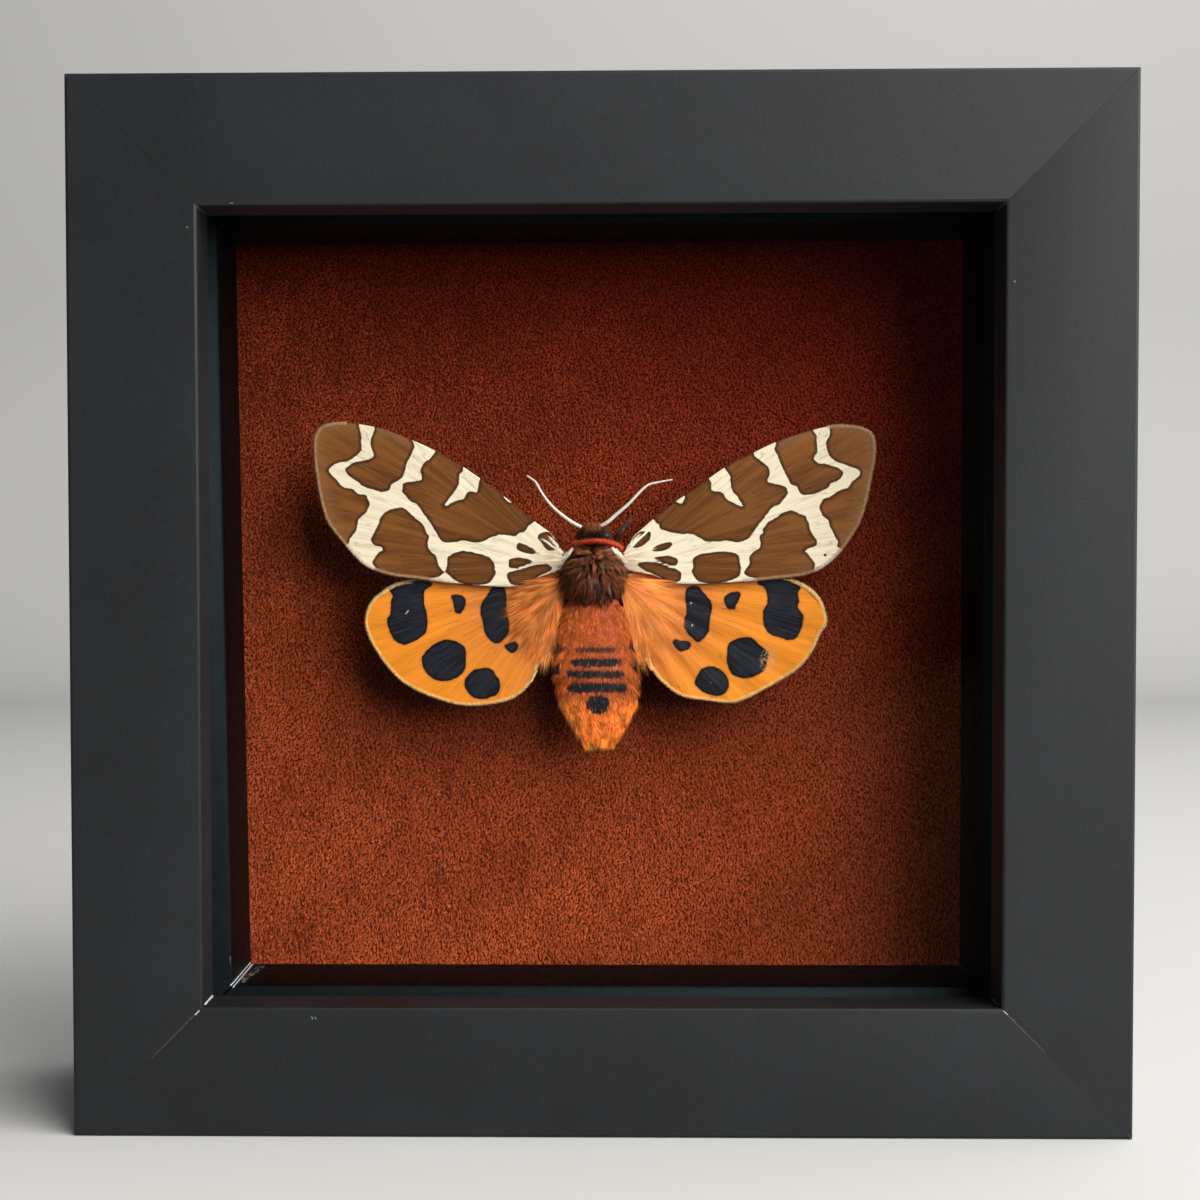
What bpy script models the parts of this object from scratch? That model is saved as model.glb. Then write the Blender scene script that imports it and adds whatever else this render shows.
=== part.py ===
"""Framed moth specimen: a spread tiger moth pinned over velvet in a small square box frame.

The frame stands upright with its glass towards -Y, and its underside rests on Z = 0. Widths and
heights of the specimen are measured from the middle of the frame, in millimetres.
"""
import math

import bmesh
import bpy
from mathutils import Matrix, Vector

MM = 0.001

# Frame moulding, mitred at the corners, with a lip in front and a rebate behind it
FRAME_SIDE = 125.0
FRAME_DEPTH = 35.0
FACE_WIDTH = 15.5
LIP_DEPTH = 6.0
LIP_OVERLAP = 3.0
ARRIS_RADIUS = 0.4
ARRIS_SEGMENTS = 2
MITRE_GAP = 0.1

# Flat sheets stacked in the rebate, from the front
GAP = 0.3
GLASS_THICKNESS = 2.0
SPACER_DEPTH = 13.6
SPACER_THICKNESS = 3.3
SPACER_MITRE_GAP = 0.2
SPACER_TURN = 1.4
VELVET_THICKNESS = 1.0
BOARD_THICKNESS = 3.0
PANEL_THICKNESS = 3.0

# Flat metal points that hold the back panel, two to a rail
POINT_WIDTH = 6.0
POINT_LENGTH = 13.0
POINT_THICKNESS = 0.5
POINT_BITE = 3.5
POINT_SPACING = 50.0
POINT_END_STEPS = 8

# Sawtooth hanger riveted to the back panel
HANGER_WIDTH = 40.0
HANGER_HEIGHT = 8.0
HANGER_THICKNESS = 0.8
HANGER_BOW = 1.2
HANGER_SHOULDER = 2.5
HANGER_TOOTHLESS = 1.0
HANGER_HEIGHT_ABOVE_MIDDLE = 36.0
HANGER_TEETH = 12
TOOTH_PITCH = 2.0
TOOTH_DEPTH = 1.0
RIVET_INSET = 3.0
RIVET_HEAD_RADIUS = 2.0
RIVET_HEAD_HEIGHT = 0.9
RIVET_SHANK_RADIUS = 1.0
RIVET_END_SHORT = 0.2
RIVET_DOME_STEPS = 4
RIVET_SIDES = 16

# Body of the moth
BODY_X = -0.8
THORAX_MIDDLE = (BODY_X, -2.8, 3.9)
THORAX_RADII = (3.6, 3.2, 3.6)
HEAD_MIDDLE = (-0.7, -2.6, 8.75)
HEAD_RADII = (1.9, 1.5, 0.85)
EYE_RADIUS = 0.7
EYE_SPREAD = 1.5
EYE_DROP = 0.15
PALP_RADII = (0.3, 0.35, 0.5)
PALP_SPREAD = 0.4
PALP_SET_BACK = 0.7
PALP_DROP = 0.1
ABDOMEN_DEPTH_Y = -2.4
ABDOMEN_FLATNESS = 0.64
ABDOMEN_FOLD = 0.03
SEGMENT_LENGTH = 1.6
FOLDS_FROM = -2.4
FOLDS_TO = -12.6
PIN_RADIUS = 0.25
PIN_HEIGHT = 4.6
PIN_FRONT_Y = -4.6
PIN_BACK_Y = 8.6

# Height of each station of the abdomen, the place of its middle, and its half width
ABDOMEN_STATIONS = [
    (0.0, -0.75, 0.0),
    (-0.4, -0.75, 2.5),
    (-1.5, -0.75, 3.7),
    (-3.5, -0.65, 4.4),
    (-6.0, -0.45, 5.1),
    (-8.5, -0.35, 5.5),
    (-10.5, -0.20, 5.6),
    (-12.5, -0.10, 5.0),
    (-14.5, 0.05, 3.8),
    (-16.2, 0.10, 2.8),
    (-17.5, 0.15, 2.1),
    (-18.0, 0.15, 0.0),
]

# Wings, thin plates that lean back towards the velvet at their tips
WING_THICKNESS = 0.25
FOREWING_Y = -3.3
HINDWING_Y = -2.6
WING_LEAN = 0.8
WING_ROOT_REACH = 4.0
WING_SPAN_REACH = 31.0
WING_CAMBER = 0.25
WING_CAMBER_MIDDLE = 8.0
WING_CAMBER_REACH = 14.0
WING_CELL = 2.5
SAME_PLANE_ANGLE = 0.001
OUTLINE_STEPS = 2

# Wing outlines: root, leading edge, tip, outer margin, inner margin
FOREWING_LEFT = [
    (-4.65, 6.6), (-5.6, 8.7), (-8.2, 10.7), (-12.6, 14.3), (-16.8, 17.3), (-20.4, 19.4),
    (-24.4, 21.2), (-28.0, 22.4), (-31.5, 22.9), (-33.9, 22.7), (-35.0, 22.1), (-35.5, 20.7),
    (-35.5, 18.6), (-35.2, 16.0), (-34.6, 12.9), (-33.8, 10.5), (-32.1, 8.3), (-29.8, 5.7),
    (-27.9, 4.6), (-25.4, 3.9), (-22.0, 3.5), (-17.6, 2.9), (-13.0, 2.5), (-10.3, 2.6),
    (-7.6, 3.6), (-5.3, 4.4), (-4.65, 4.9),
]
FOREWING_RIGHT = [
    (3.1, 6.6), (4.1, 8.5), (5.6, 9.9), (8.2, 12.1), (12.5, 15.1), (16.0, 17.5),
    (19.2, 19.1), (22.0, 20.4), (25.6, 21.6), (28.4, 22.3), (30.6, 22.4), (32.6, 22.1),
    (33.8, 21.4), (34.2, 20.2), (34.2, 18.6), (33.7, 16.0), (33.2, 13.4), (32.4, 10.8),
    (31.4, 8.9), (29.6, 6.5), (27.6, 4.8), (25.2, 3.9), (21.6, 3.5), (17.6, 3.1),
    (12.5, 2.8), (9.4, 2.9), (6.6, 3.9), (4.0, 4.4), (3.1, 4.9),
]
HINDWING_LEFT = [
    (-4.65, 3.7), (-7.5, 5.2), (-13.0, 5.2), (-18.0, 4.4), (-22.5, 3.4), (-25.2, 2.9),
    (-27.3, 1.7), (-28.7, 0.3), (-29.3, -1.7), (-28.9, -3.6), (-27.9, -5.5), (-26.5, -7.5),
    (-24.6, -9.4), (-22.1, -10.8), (-19.3, -11.8), (-16.8, -12.3), (-13.5, -12.1),
    (-10.9, -11.4), (-9.1, -10.0), (-7.9, -7.8), (-6.7, -5.9), (-6.0, -3.6), (-5.5, -1.0),
    (-4.9, 1.2), (-4.6, 2.6),
]
HINDWING_RIGHT = [
    (3.1, 3.7), (7.0, 5.2), (12.0, 5.2), (17.0, 4.4), (21.0, 3.7), (23.8, 3.3),
    (25.7, 2.5), (27.3, 1.1), (28.0, -0.5), (28.3, -2.1), (27.5, -3.4), (26.6, -5.4),
    (25.0, -7.5), (22.9, -9.0), (20.6, -10.3), (18.0, -11.6), (16.4, -12.0), (13.6, -11.7),
    (10.8, -11.3), (8.9, -10.3), (7.0, -8.4), (5.9, -6.2), (5.3, -4.0), (4.7, -2.0),
    (3.9, 0.5), (3.1, 2.4),
]

# Antennae, from the head outwards
ANTENNA_THICKNESS = 0.55
ANTENNA_TIP = 0.4
ANTENNA_LEFT = [
    (-2.25, -2.9, 9.85), (-3.6, -3.1, 10.6), (-5.05, -3.2, 11.7), (-6.0, -3.2, 12.6),
    (-7.0, -3.1, 13.9), (-7.85, -3.0, 15.35), (-8.3, -2.9, 15.8), (-9.0, -2.8, 16.3),
]
ANTENNA_RIGHT = [
    (0.1, -2.9, 9.95), (1.05, -3.1, 10.5), (2.0, -3.2, 11.35), (3.1, -3.3, 12.25),
    (4.05, -3.3, 13.15), (5.0, -3.2, 14.2), (5.85, -3.1, 14.95), (6.5, -3.0, 15.25),
    (7.7, -2.9, 15.5), (9.1, -2.8, 15.75),
]

# Legs: one foreleg shows beside the head, and the others are folded under the body
LEG_THICKNESS = 0.6
LEG_TIP = 0.4
FORELEG_RIGHT = [
    (0.9, 1.3, 5.6), (2.7, 0.7, 7.5), (2.6, -1.3, 8.9), (2.9, -2.2, 9.7), (4.0, -2.5, 10.95),
]
FORELEG_LEFT = [
    (-1.9, 1.3, 5.6), (-2.9, 1.4, 6.8), (-2.6, 1.5, 8.0), (-1.6, 1.5, 8.5),
]
MIDDLE_LEG = [
    (1.3, 1.3, 4.0), (2.8, 1.6, 3.0), (3.4, 2.0, 0.5), (3.6, 2.3, -2.2),
]
HIND_LEG = [
    (1.0, 1.3, 2.4), (2.0, 1.9, 0.2), (1.8, 2.4, -3.5), (1.3, 2.6, -6.5),
]
LIMB_STEPS = 2
LIMB_ROUNDNESS = 2

# Faces that meet under this angle, in degrees, are shaded as one surface
SMOOTH_ANGLE = 40

# Colours as red, green, blue, then roughness and metallic
COLOURS = {
    "black_foil": ((0.028, 0.030, 0.032), 0.55, 0.0),
    "clear_glass": ((0.96, 0.98, 0.97), 0.02, 0.0),
    "black_strip": ((0.012, 0.009, 0.009), 0.45, 0.0),
    "rust_velvet": ((0.19, 0.035, 0.012), 0.95, 0.0),
    "grey_card": ((0.42, 0.40, 0.36), 0.9, 0.0),
    "brown_hardboard": ((0.20, 0.115, 0.055), 0.7, 0.0),
    "plain_steel": ((0.56, 0.56, 0.55), 0.35, 1.0),
    "forewing_scales": ((0.20, 0.075, 0.02), 0.7, 0.0),
    "hindwing_scales": ((0.80, 0.27, 0.03), 0.7, 0.0),
    "dark_fur": ((0.065, 0.028, 0.015), 0.9, 0.0),
    "orange_fur": ((0.62, 0.16, 0.035), 0.85, 0.0),
    "ivory_antenna": ((0.83, 0.74, 0.62), 0.6, 0.0),
    "dark_leg": ((0.05, 0.04, 0.038), 0.6, 0.0),
}

# Each side of the square is the bottom one, turned about the frame's middle by these degrees
RAIL_TURNS = {"bottom": 0, "left": 90, "top": 180, "right": 270}

HALF_SIDE = FRAME_SIDE / 2
FRONT_Y = -FRAME_DEPTH / 2
BACK_Y = FRAME_DEPTH / 2
REBATE_HALF = HALF_SIDE - FACE_WIDTH + LIP_OVERLAP
SHEET_SIDE = 2 * (REBATE_HALF - GAP)
GLASS_Y = FRONT_Y + LIP_DEPTH + GAP
SPACER_Y = GLASS_Y + GLASS_THICKNESS + GAP
VELVET_Y = SPACER_Y + SPACER_DEPTH + GAP
BOARD_Y = VELVET_Y + VELVET_THICKNESS + GAP
PANEL_Y = BOARD_Y + BOARD_THICKNESS + GAP
POINT_Y = PANEL_Y + PANEL_THICKNESS + GAP
MIDDLE = Vector((0.0, 0.0, HALF_SIDE * MM))


def clear_scene():
    for old in list(bpy.data.objects):
        bpy.data.objects.remove(old, do_unlink=True)


def make_collection(name):
    collection = bpy.data.collections.new(name)
    bpy.context.scene.collection.children.link(collection)
    return collection


def make_material(name):
    colour, roughness, metallic = COLOURS[name]
    material = bpy.data.materials.new(name)
    material.use_nodes = True
    shader = material.node_tree.nodes["Principled BSDF"]
    shader.inputs["Base Color"].default_value = (*colour, 1.0)
    shader.inputs["Roughness"].default_value = roughness
    shader.inputs["Metallic"].default_value = metallic
    if name == "clear_glass":
        shader.inputs["Transmission Weight"].default_value = 1.0
    return material


def add_object(name, bm, material, smooth=False):
    """Turn a bmesh in millimetres, measured from the frame's middle, into an object."""
    bmesh.ops.scale(bm, vec=(MM, MM, MM), verts=bm.verts)
    mesh = bpy.data.meshes.new(name)
    bm.to_mesh(mesh)
    bm.free()
    if smooth:
        mesh.shade_smooth()
        mesh.set_sharp_from_angle(angle=math.radians(SMOOTH_ANGLE))
    obj = bpy.data.objects.new(name, mesh)
    obj.location = MIDDLE
    mesh.materials.append(materials[material])
    parts.objects.link(obj)
    return obj


def add_cutter(name, bm):
    cutter = add_object(name, bm, "plain_steel")
    parts.objects.unlink(cutter)
    cutters.objects.link(cutter)
    cutter.hide_render = True
    cutter.display_type = "WIRE"
    return cutter


def boolean(obj, other, operation):
    modifier = obj.modifiers.new(operation.lower(), "BOOLEAN")
    modifier.operation = operation
    modifier.solver = "EXACT"
    modifier.object = other


def box(size, middle):
    bm = bmesh.new()
    bmesh.ops.create_cube(bm, size=1.0)
    bmesh.ops.scale(bm, vec=size, verts=bm.verts)
    bmesh.ops.translate(bm, vec=middle, verts=bm.verts)
    return bm


def cylinder_along_y(radius, start_y, end_y, x, z, segments=16):
    bm = bmesh.new()
    bmesh.ops.create_cone(
        bm, cap_ends=True, segments=segments, radius1=radius, radius2=radius, depth=end_y - start_y
    )
    bmesh.ops.rotate(bm, matrix=Matrix.Rotation(math.radians(90), 3, "X"), verts=bm.verts)
    bmesh.ops.translate(bm, vec=(x, (start_y + end_y) / 2, z), verts=bm.verts)
    return bm


def ball(radii, middle, segments=20, rings=12):
    bm = bmesh.new()
    bmesh.ops.create_uvsphere(bm, u_segments=segments, v_segments=rings, radius=1.0)
    bmesh.ops.scale(bm, vec=radii, verts=bm.verts)
    bmesh.ops.translate(bm, vec=middle, verts=bm.verts)
    return bm


def smooth_path(points, steps, closed):
    """Points of a Catmull-Rom curve through the given points."""
    points = [Vector(point) for point in points]
    count = len(points)
    path = []
    for i in range(count if closed else count - 1):
        if closed:
            p0, p1, p2, p3 = (points[(i + k - 1) % count] for k in range(4))
        else:
            p0, p1, p2, p3 = (points[min(max(i + k - 1, 0), count - 1)] for k in range(4))
        for step in range(steps):
            t = step / steps
            path.append(
                0.5 * (2 * p1 + (p2 - p0) * t + (2 * p0 - 5 * p1 + 4 * p2 - p3) * t ** 2
                       + (3 * p1 - p0 - 3 * p2 + p3) * t ** 3)
            )
    if not closed:
        path.append(points[-1])
    return path


def mesh_from_curve(curve):
    """Evaluate a curve datablock into a bmesh with its caps welded on."""
    holder = bpy.data.objects.new("curve_holder", curve)
    bpy.context.scene.collection.objects.link(holder)
    graph = bpy.context.evaluated_depsgraph_get()
    mesh = bpy.data.meshes.new_from_object(holder.evaluated_get(graph))
    bm = bmesh.new()
    bm.from_mesh(mesh)
    bpy.data.objects.remove(holder, do_unlink=True)
    bpy.data.curves.remove(curve)
    bpy.data.meshes.remove(mesh)
    bmesh.ops.remove_doubles(bm, verts=bm.verts, dist=0.001)
    return bm


def outline_plate(outline, thickness):
    """A flat outline in X and Z, filled, with its thickness along Y about Y = 0."""
    curve = bpy.data.curves.new("outline", "CURVE")
    curve.dimensions = "2D"
    curve.fill_mode = "BOTH"
    curve.extrude = thickness / 2
    spline = curve.splines.new("POLY")
    spline.points.add(len(outline) - 1)
    for point, (x, z) in zip(spline.points, outline):
        point.co = (x, z, 0.0, 1.0)
    spline.use_cyclic_u = True
    bm = mesh_from_curve(curve)
    bmesh.ops.rotate(bm, matrix=Matrix.Rotation(math.radians(90), 3, "X"), verts=bm.verts)
    bmesh.ops.recalc_face_normals(bm, faces=bm.faces)
    return bm


def limb(points, thickness, tip):
    """A thin tapering tube along a smooth path; tip is the share of the thickness at its end."""
    path = smooth_path(points, LIMB_STEPS, closed=False)
    curve = bpy.data.curves.new("limb", "CURVE")
    curve.dimensions = "3D"
    curve.bevel_depth = thickness / 2
    curve.bevel_resolution = LIMB_ROUNDNESS
    curve.use_fill_caps = True
    spline = curve.splines.new("POLY")
    spline.points.add(len(path) - 1)
    for i, (point, place) in enumerate(zip(spline.points, path)):
        point.co = (*place, 1.0)
        point.radius = 1 + (tip - 1) * i / (len(path) - 1)
    return mesh_from_curve(curve)


def keep_side(bm, point, normal):
    """Cut a bmesh with a plane, drop what lies on the normal's side, and close the cut."""
    everything = bm.verts[:] + bm.edges[:] + bm.faces[:]
    cut = bmesh.ops.bisect_plane(
        bm, geom=everything, dist=0.0001, plane_co=point, plane_no=normal, clear_outer=True
    )
    edges = [item for item in cut["geom_cut"] if isinstance(item, bmesh.types.BMEdge)]
    bmesh.ops.edgeloop_fill(bm, edges=edges)
    bmesh.ops.recalc_face_normals(bm, faces=bm.faces)


def mitred_bar(profile, outer_half, mitre_gap, round_corners=()):
    """A bar along X under the middle, from a profile of (height from the outer edge, depth).

    Both ends are cut at 45 degrees towards the middle, so four of them close a square.
    """
    bm = outline_plate(profile, 2 * outer_half)
    # The plate's X is the height in the profile, its Z the depth and its Y the run of the bar
    turn = Matrix(((0, 1, 0), (0, 0, 1), (1, 0, 0)))
    bmesh.ops.transform(bm, matrix=turn.to_4x4(), verts=bm.verts)
    bmesh.ops.translate(bm, vec=(0, 0, -outer_half), verts=bm.verts)
    rounded = []
    for height, depth in round_corners:
        for edge in bm.edges:
            ends = [(vert.co.z + outer_half, vert.co.y) for vert in edge.verts]
            if all(abs(h - height) < 0.01 and abs(d - depth) < 0.01 for h, d in ends):
                rounded.append(edge)
    if rounded:
        bmesh.ops.bevel(
            bm, geom=rounded, offset=ARRIS_RADIUS, segments=ARRIS_SEGMENTS, profile=0.5,
            affect="EDGES", material=-1,
        )
    clearance = mitre_gap / math.sqrt(2)
    keep_side(bm, (-clearance, 0, 0), (1, 0, 1))
    keep_side(bm, (clearance, 0, 0), (-1, 0, 1))
    return bm


def frame_rails():
    """Four mitred rails with a lip, and a pair of slots in each for the metal points."""
    wall = FACE_WIDTH - LIP_OVERLAP
    lip_back = FRONT_Y + LIP_DEPTH
    profile = [
        (0, FRONT_Y), (FACE_WIDTH, FRONT_Y), (FACE_WIDTH, lip_back), (wall, lip_back),
        (wall, BACK_Y), (0, BACK_Y),
    ]
    rounded = [(0, FRONT_Y), (FACE_WIDTH, FRONT_Y), (0, BACK_Y)]
    for place, (name, turn) in enumerate(RAIL_TURNS.items()):
        bm = mitred_bar(profile, HALF_SIDE, MITRE_GAP, rounded)
        rail = add_object("frame_" + name, bm, "black_foil")
        rail.rotation_euler.y = math.radians(turn)
        for side, x in enumerate((-POINT_SPACING / 2, POINT_SPACING / 2)):
            number = 2 * place + side + 1
            slot = box(
                (POINT_WIDTH + 2 * GAP, POINT_THICKNESS + 2 * GAP, 2 * (POINT_BITE + GAP)),
                (x, POINT_Y + POINT_THICKNESS / 2, -REBATE_HALF),
            )
            cutter = add_cutter(f"slot_cutter_{number}", slot)
            cutter.rotation_euler.y = rail.rotation_euler.y
            boolean(rail, cutter, "DIFFERENCE")
            metal_point(number, x, rail.rotation_euler.y)


def metal_point(number, x, turn):
    """A flat point driven into the rebate, lying on the back panel, with a rounded free end."""
    start = -REBATE_HALF - POINT_BITE
    end = start + POINT_LENGTH
    half = POINT_WIDTH / 2
    outline = [(x - half, start), (x + half, start)]
    for step in range(POINT_END_STEPS + 1):
        angle = math.pi * step / POINT_END_STEPS
        outline.append((x + half * math.cos(angle), end - half + half * math.sin(angle)))
    bm = outline_plate(outline, POINT_THICKNESS)
    bmesh.ops.translate(bm, vec=(0, POINT_Y + POINT_THICKNESS / 2, 0), verts=bm.verts)
    point = add_object(f"frame_point_{number}", bm, "plain_steel")
    point.rotation_euler.y = turn


def spacers():
    """Four strips that hold the glass off the velvet; the left one sits slightly turned."""
    outer = REBATE_HALF - GAP
    back = SPACER_Y + SPACER_DEPTH
    profile = [(0, SPACER_Y), (SPACER_THICKNESS, SPACER_Y), (SPACER_THICKNESS, back), (0, back)]
    for name, turn in RAIL_TURNS.items():
        bm = mitred_bar(profile, outer, SPACER_MITRE_GAP)
        if name == "bottom":
            short_end = -outer + SPACER_TURN + SPACER_MITRE_GAP
            keep_side(bm, (short_end, 0, -outer), (-1, 0, 1))
        bmesh.ops.rotate(bm, matrix=Matrix.Rotation(math.radians(turn), 3, "Y"), verts=bm.verts)
        if name == "left":
            slant = -math.atan2(SPACER_TURN, 2 * outer)
            bmesh.ops.rotate(
                bm, cent=(-outer, 0, outer), matrix=Matrix.Rotation(slant, 3, "Y"), verts=bm.verts
            )
            bmesh.ops.translate(bm, vec=(-SPACER_MITRE_GAP / 2, 0, 0), verts=bm.verts)
        add_object("spacer_" + name, bm, "black_strip")


def stacked_sheets():
    """Glass, velvet, board and back panel, each with the holes that it needs."""
    middle_of = {
        "glass_pane": (GLASS_Y, GLASS_THICKNESS, "clear_glass"),
        "velvet": (VELVET_Y, VELVET_THICKNESS, "rust_velvet"),
        "mount_board": (BOARD_Y, BOARD_THICKNESS, "grey_card"),
        "back_panel": (PANEL_Y, PANEL_THICKNESS, "brown_hardboard"),
    }
    sheets = {}
    for name, (start_y, thickness, material) in middle_of.items():
        bm = box((SHEET_SIDE, thickness, SHEET_SIDE), (0, start_y + thickness / 2, 0))
        sheets[name] = add_object(name, bm, material)
    pin_hole = cylinder_along_y(PIN_RADIUS + GAP, VELVET_Y - GAP, PIN_BACK_Y + GAP, BODY_X, PIN_HEIGHT)
    cutter = add_cutter("pin_hole_cutter", pin_hole)
    boolean(sheets["velvet"], cutter, "DIFFERENCE")
    boolean(sheets["mount_board"], cutter, "DIFFERENCE")
    return sheets


def sawtooth_hanger(panel):
    """A bowed plate with a toothed lower edge, and the two rivets that fix it to the panel."""
    half = HANGER_WIDTH / 2
    low = HANGER_HEIGHT_ABOVE_MIDDLE - HANGER_HEIGHT / 2
    high = low + HANGER_HEIGHT
    toothed = HANGER_TEETH * TOOTH_PITCH / 2
    outline = [(-half, high), (-half, low)]
    for tooth in range(HANGER_TEETH):
        x = -toothed + tooth * TOOTH_PITCH
        outline.append((x, low))
        outline.append((x + TOOTH_PITCH / 2, low + TOOTH_DEPTH))
    outline.extend([(toothed, low), (half, low), (half, high)])
    bm = outline_plate(outline, HANGER_THICKNESS)
    flat_from = toothed + HANGER_TOOTHLESS
    for x in (-flat_from - HANGER_SHOULDER, -flat_from, flat_from, flat_from + HANGER_SHOULDER):
        everything = bm.verts[:] + bm.edges[:] + bm.faces[:]
        bmesh.ops.bisect_plane(bm, geom=everything, dist=0.0001, plane_co=(x, 0, 0), plane_no=(1, 0, 0))
    for vert in bm.verts:
        rise = (flat_from + HANGER_SHOULDER - abs(vert.co.x)) / HANGER_SHOULDER
        vert.co.y += HANGER_BOW * min(max(rise, 0.0), 1.0)
    plate_y = PANEL_Y + PANEL_THICKNESS + GAP
    bmesh.ops.translate(bm, vec=(0, plate_y + HANGER_THICKNESS / 2, 0), verts=bm.verts)
    bmesh.ops.triangulate(bm, faces=bm.faces)
    hanger = add_object("sawtooth_hanger", bm, "plain_steel")
    for side, x in (("left", -half + RIVET_INSET), ("right", half - RIVET_INSET)):
        hole = cylinder_along_y(
            RIVET_SHANK_RADIUS + GAP, PANEL_Y - GAP, plate_y + HANGER_THICKNESS + GAP, x,
            HANGER_HEIGHT_ABOVE_MIDDLE,
        )
        cutter = add_cutter(f"rivet_cutter_{side}", hole)
        boolean(hanger, cutter, "DIFFERENCE")
        boolean(panel, cutter, "DIFFERENCE")
        rivet(side, x, plate_y + HANGER_THICKNESS + GAP)


def rivet(side, x, head_y):
    """A turned rivet: a domed head over the plate and a shank down into the panel."""
    profile = bmesh.new()
    shank_end = PANEL_Y + RIVET_END_SHORT - head_y
    corners = [(0.0, RIVET_HEAD_HEIGHT)]
    for step in range(1, RIVET_DOME_STEPS + 1):
        angle = math.radians(90 - 90 * step / RIVET_DOME_STEPS)
        corners.append((RIVET_HEAD_RADIUS * math.cos(angle), RIVET_HEAD_HEIGHT * math.sin(angle)))
    corners.extend([(RIVET_SHANK_RADIUS, 0.0), (RIVET_SHANK_RADIUS, shank_end), (0.0, shank_end)])
    verts = [profile.verts.new((radius, 0.0, height)) for radius, height in corners]
    for first, second in zip(verts, verts[1:]):
        profile.edges.new((first, second))
    obj = add_object(f"hanger_rivet_{side}", profile, "plain_steel")
    screw = obj.modifiers.new("turn", "SCREW")
    screw.steps = RIVET_SIDES
    screw.render_steps = RIVET_SIDES
    screw.use_merge_vertices = True
    screw.merge_threshold = 0.00001
    obj.rotation_euler.x = math.radians(-90)
    obj.location = MIDDLE + Vector((x, head_y, HANGER_HEIGHT_ABOVE_MIDDLE)) * MM


def insect_pin():
    bm = cylinder_along_y(PIN_RADIUS, PIN_FRONT_Y, PIN_BACK_Y, BODY_X, PIN_HEIGHT, segments=12)
    add_object("insect_pin", bm, "plain_steel")


def thorax():
    obj = add_object("thorax", ball(THORAX_RADII, THORAX_MIDDLE), "dark_fur", smooth=True)
    hole = cylinder_along_y(
        PIN_RADIUS + GAP, PIN_FRONT_Y - GAP, THORAX_RADII[1], BODY_X, PIN_HEIGHT, segments=12
    )
    boolean(obj, add_cutter("thorax_pin_cutter", hole), "DIFFERENCE")


def head():
    """The head with its two eyes and two short palps, grown together."""
    obj = add_object("head", ball(HEAD_RADII, HEAD_MIDDLE), "dark_fur", smooth=True)
    x, y, z = HEAD_MIDDLE
    for side, sign in (("left", -1), ("right", 1)):
        eye = ball((EYE_RADIUS,) * 3, (x + sign * EYE_SPREAD, y, z - EYE_DROP), 14, 8)
        boolean(obj, add_cutter("eye_" + side, eye), "UNION")
        tip = (x + sign * PALP_SPREAD, y + PALP_SET_BACK, z + HEAD_RADII[2] - PALP_DROP)
        palp = ball(PALP_RADII, tip, 10, 6)
        boolean(obj, add_cutter("palp_" + side, palp), "UNION")


def abdomen_at(z):
    """The middle and the half width of the abdomen at a height, with its segment folds."""
    for (z0, x0, half0), (z1, x1, half1) in zip(ABDOMEN_STATIONS, ABDOMEN_STATIONS[1:]):
        if z >= z1:
            t = (z0 - z) / (z0 - z1)
            middle = x0 + (x1 - x0) * t
            half = half0 + (half1 - half0) * t
            break
    if FOLDS_TO < z < FOLDS_FROM:
        half *= 1 + ABDOMEN_FOLD * math.cos(2 * math.pi * (z - FOLDS_FROM) / SEGMENT_LENGTH)
    return middle, half


def abdomen():
    """A ball drawn out along the body, flattened from front to back."""
    bm = bmesh.new()
    bmesh.ops.create_uvsphere(bm, u_segments=20, v_segments=32, radius=1.0)
    top = ABDOMEN_STATIONS[0][0]
    length = top - ABDOMEN_STATIONS[-1][0]
    for vert in bm.verts:
        polar = math.acos(min(max(vert.co.z, -1.0), 1.0)) / math.pi
        z = top - length * polar
        middle, half = abdomen_at(z)
        around = math.atan2(vert.co.y, vert.co.x)
        vert.co = (
            middle + half * math.cos(around),
            ABDOMEN_DEPTH_Y + half * ABDOMEN_FLATNESS * math.sin(around),
            z,
        )
    add_object("abdomen", bm, "orange_fur", smooth=True)


def wing_bend(x, z):
    """How far a wing lies behind its plane: it leans back at the tip and is slightly cambered."""
    reach = max(abs(x - BODY_X) - WING_ROOT_REACH, 0.0) / WING_SPAN_REACH
    across = (z - WING_CAMBER_MIDDLE) / WING_CAMBER_REACH
    return WING_LEAN * reach ** 2 + WING_CAMBER * reach * across ** 2


def wing(name, outline, plane_y, material):
    """A thin plate from its outline, cut into cells so that it can bend."""
    smooth_outline = smooth_path([(x, z, 0.0) for x, z in outline], OUTLINE_STEPS, closed=True)
    bm = outline_plate([(point.x, point.y) for point in smooth_outline], WING_THICKNESS)
    bmesh.ops.dissolve_limit(bm, angle_limit=SAME_PLANE_ANGLE, verts=bm.verts, edges=bm.edges)
    for axis in (0, 2):
        normal = Vector((1, 0, 0)) if axis == 0 else Vector((0, 0, 1))
        low = min(vert.co[axis] for vert in bm.verts)
        high = max(vert.co[axis] for vert in bm.verts)
        cuts = int((high - low) / WING_CELL)
        for cut in range(1, cuts + 1):
            place = low + (high - low) * cut / (cuts + 1)
            everything = bm.verts[:] + bm.edges[:] + bm.faces[:]
            bmesh.ops.bisect_plane(
                bm, geom=everything, dist=0.001, plane_co=normal * place, plane_no=normal
            )
    bmesh.ops.dissolve_degenerate(bm, dist=0.001, edges=bm.edges)
    for vert in bm.verts:
        vert.co.y += plane_y + wing_bend(vert.co.x, vert.co.z)
    bmesh.ops.triangulate(bm, faces=bm.faces)
    add_object(name, bm, material)


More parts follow.
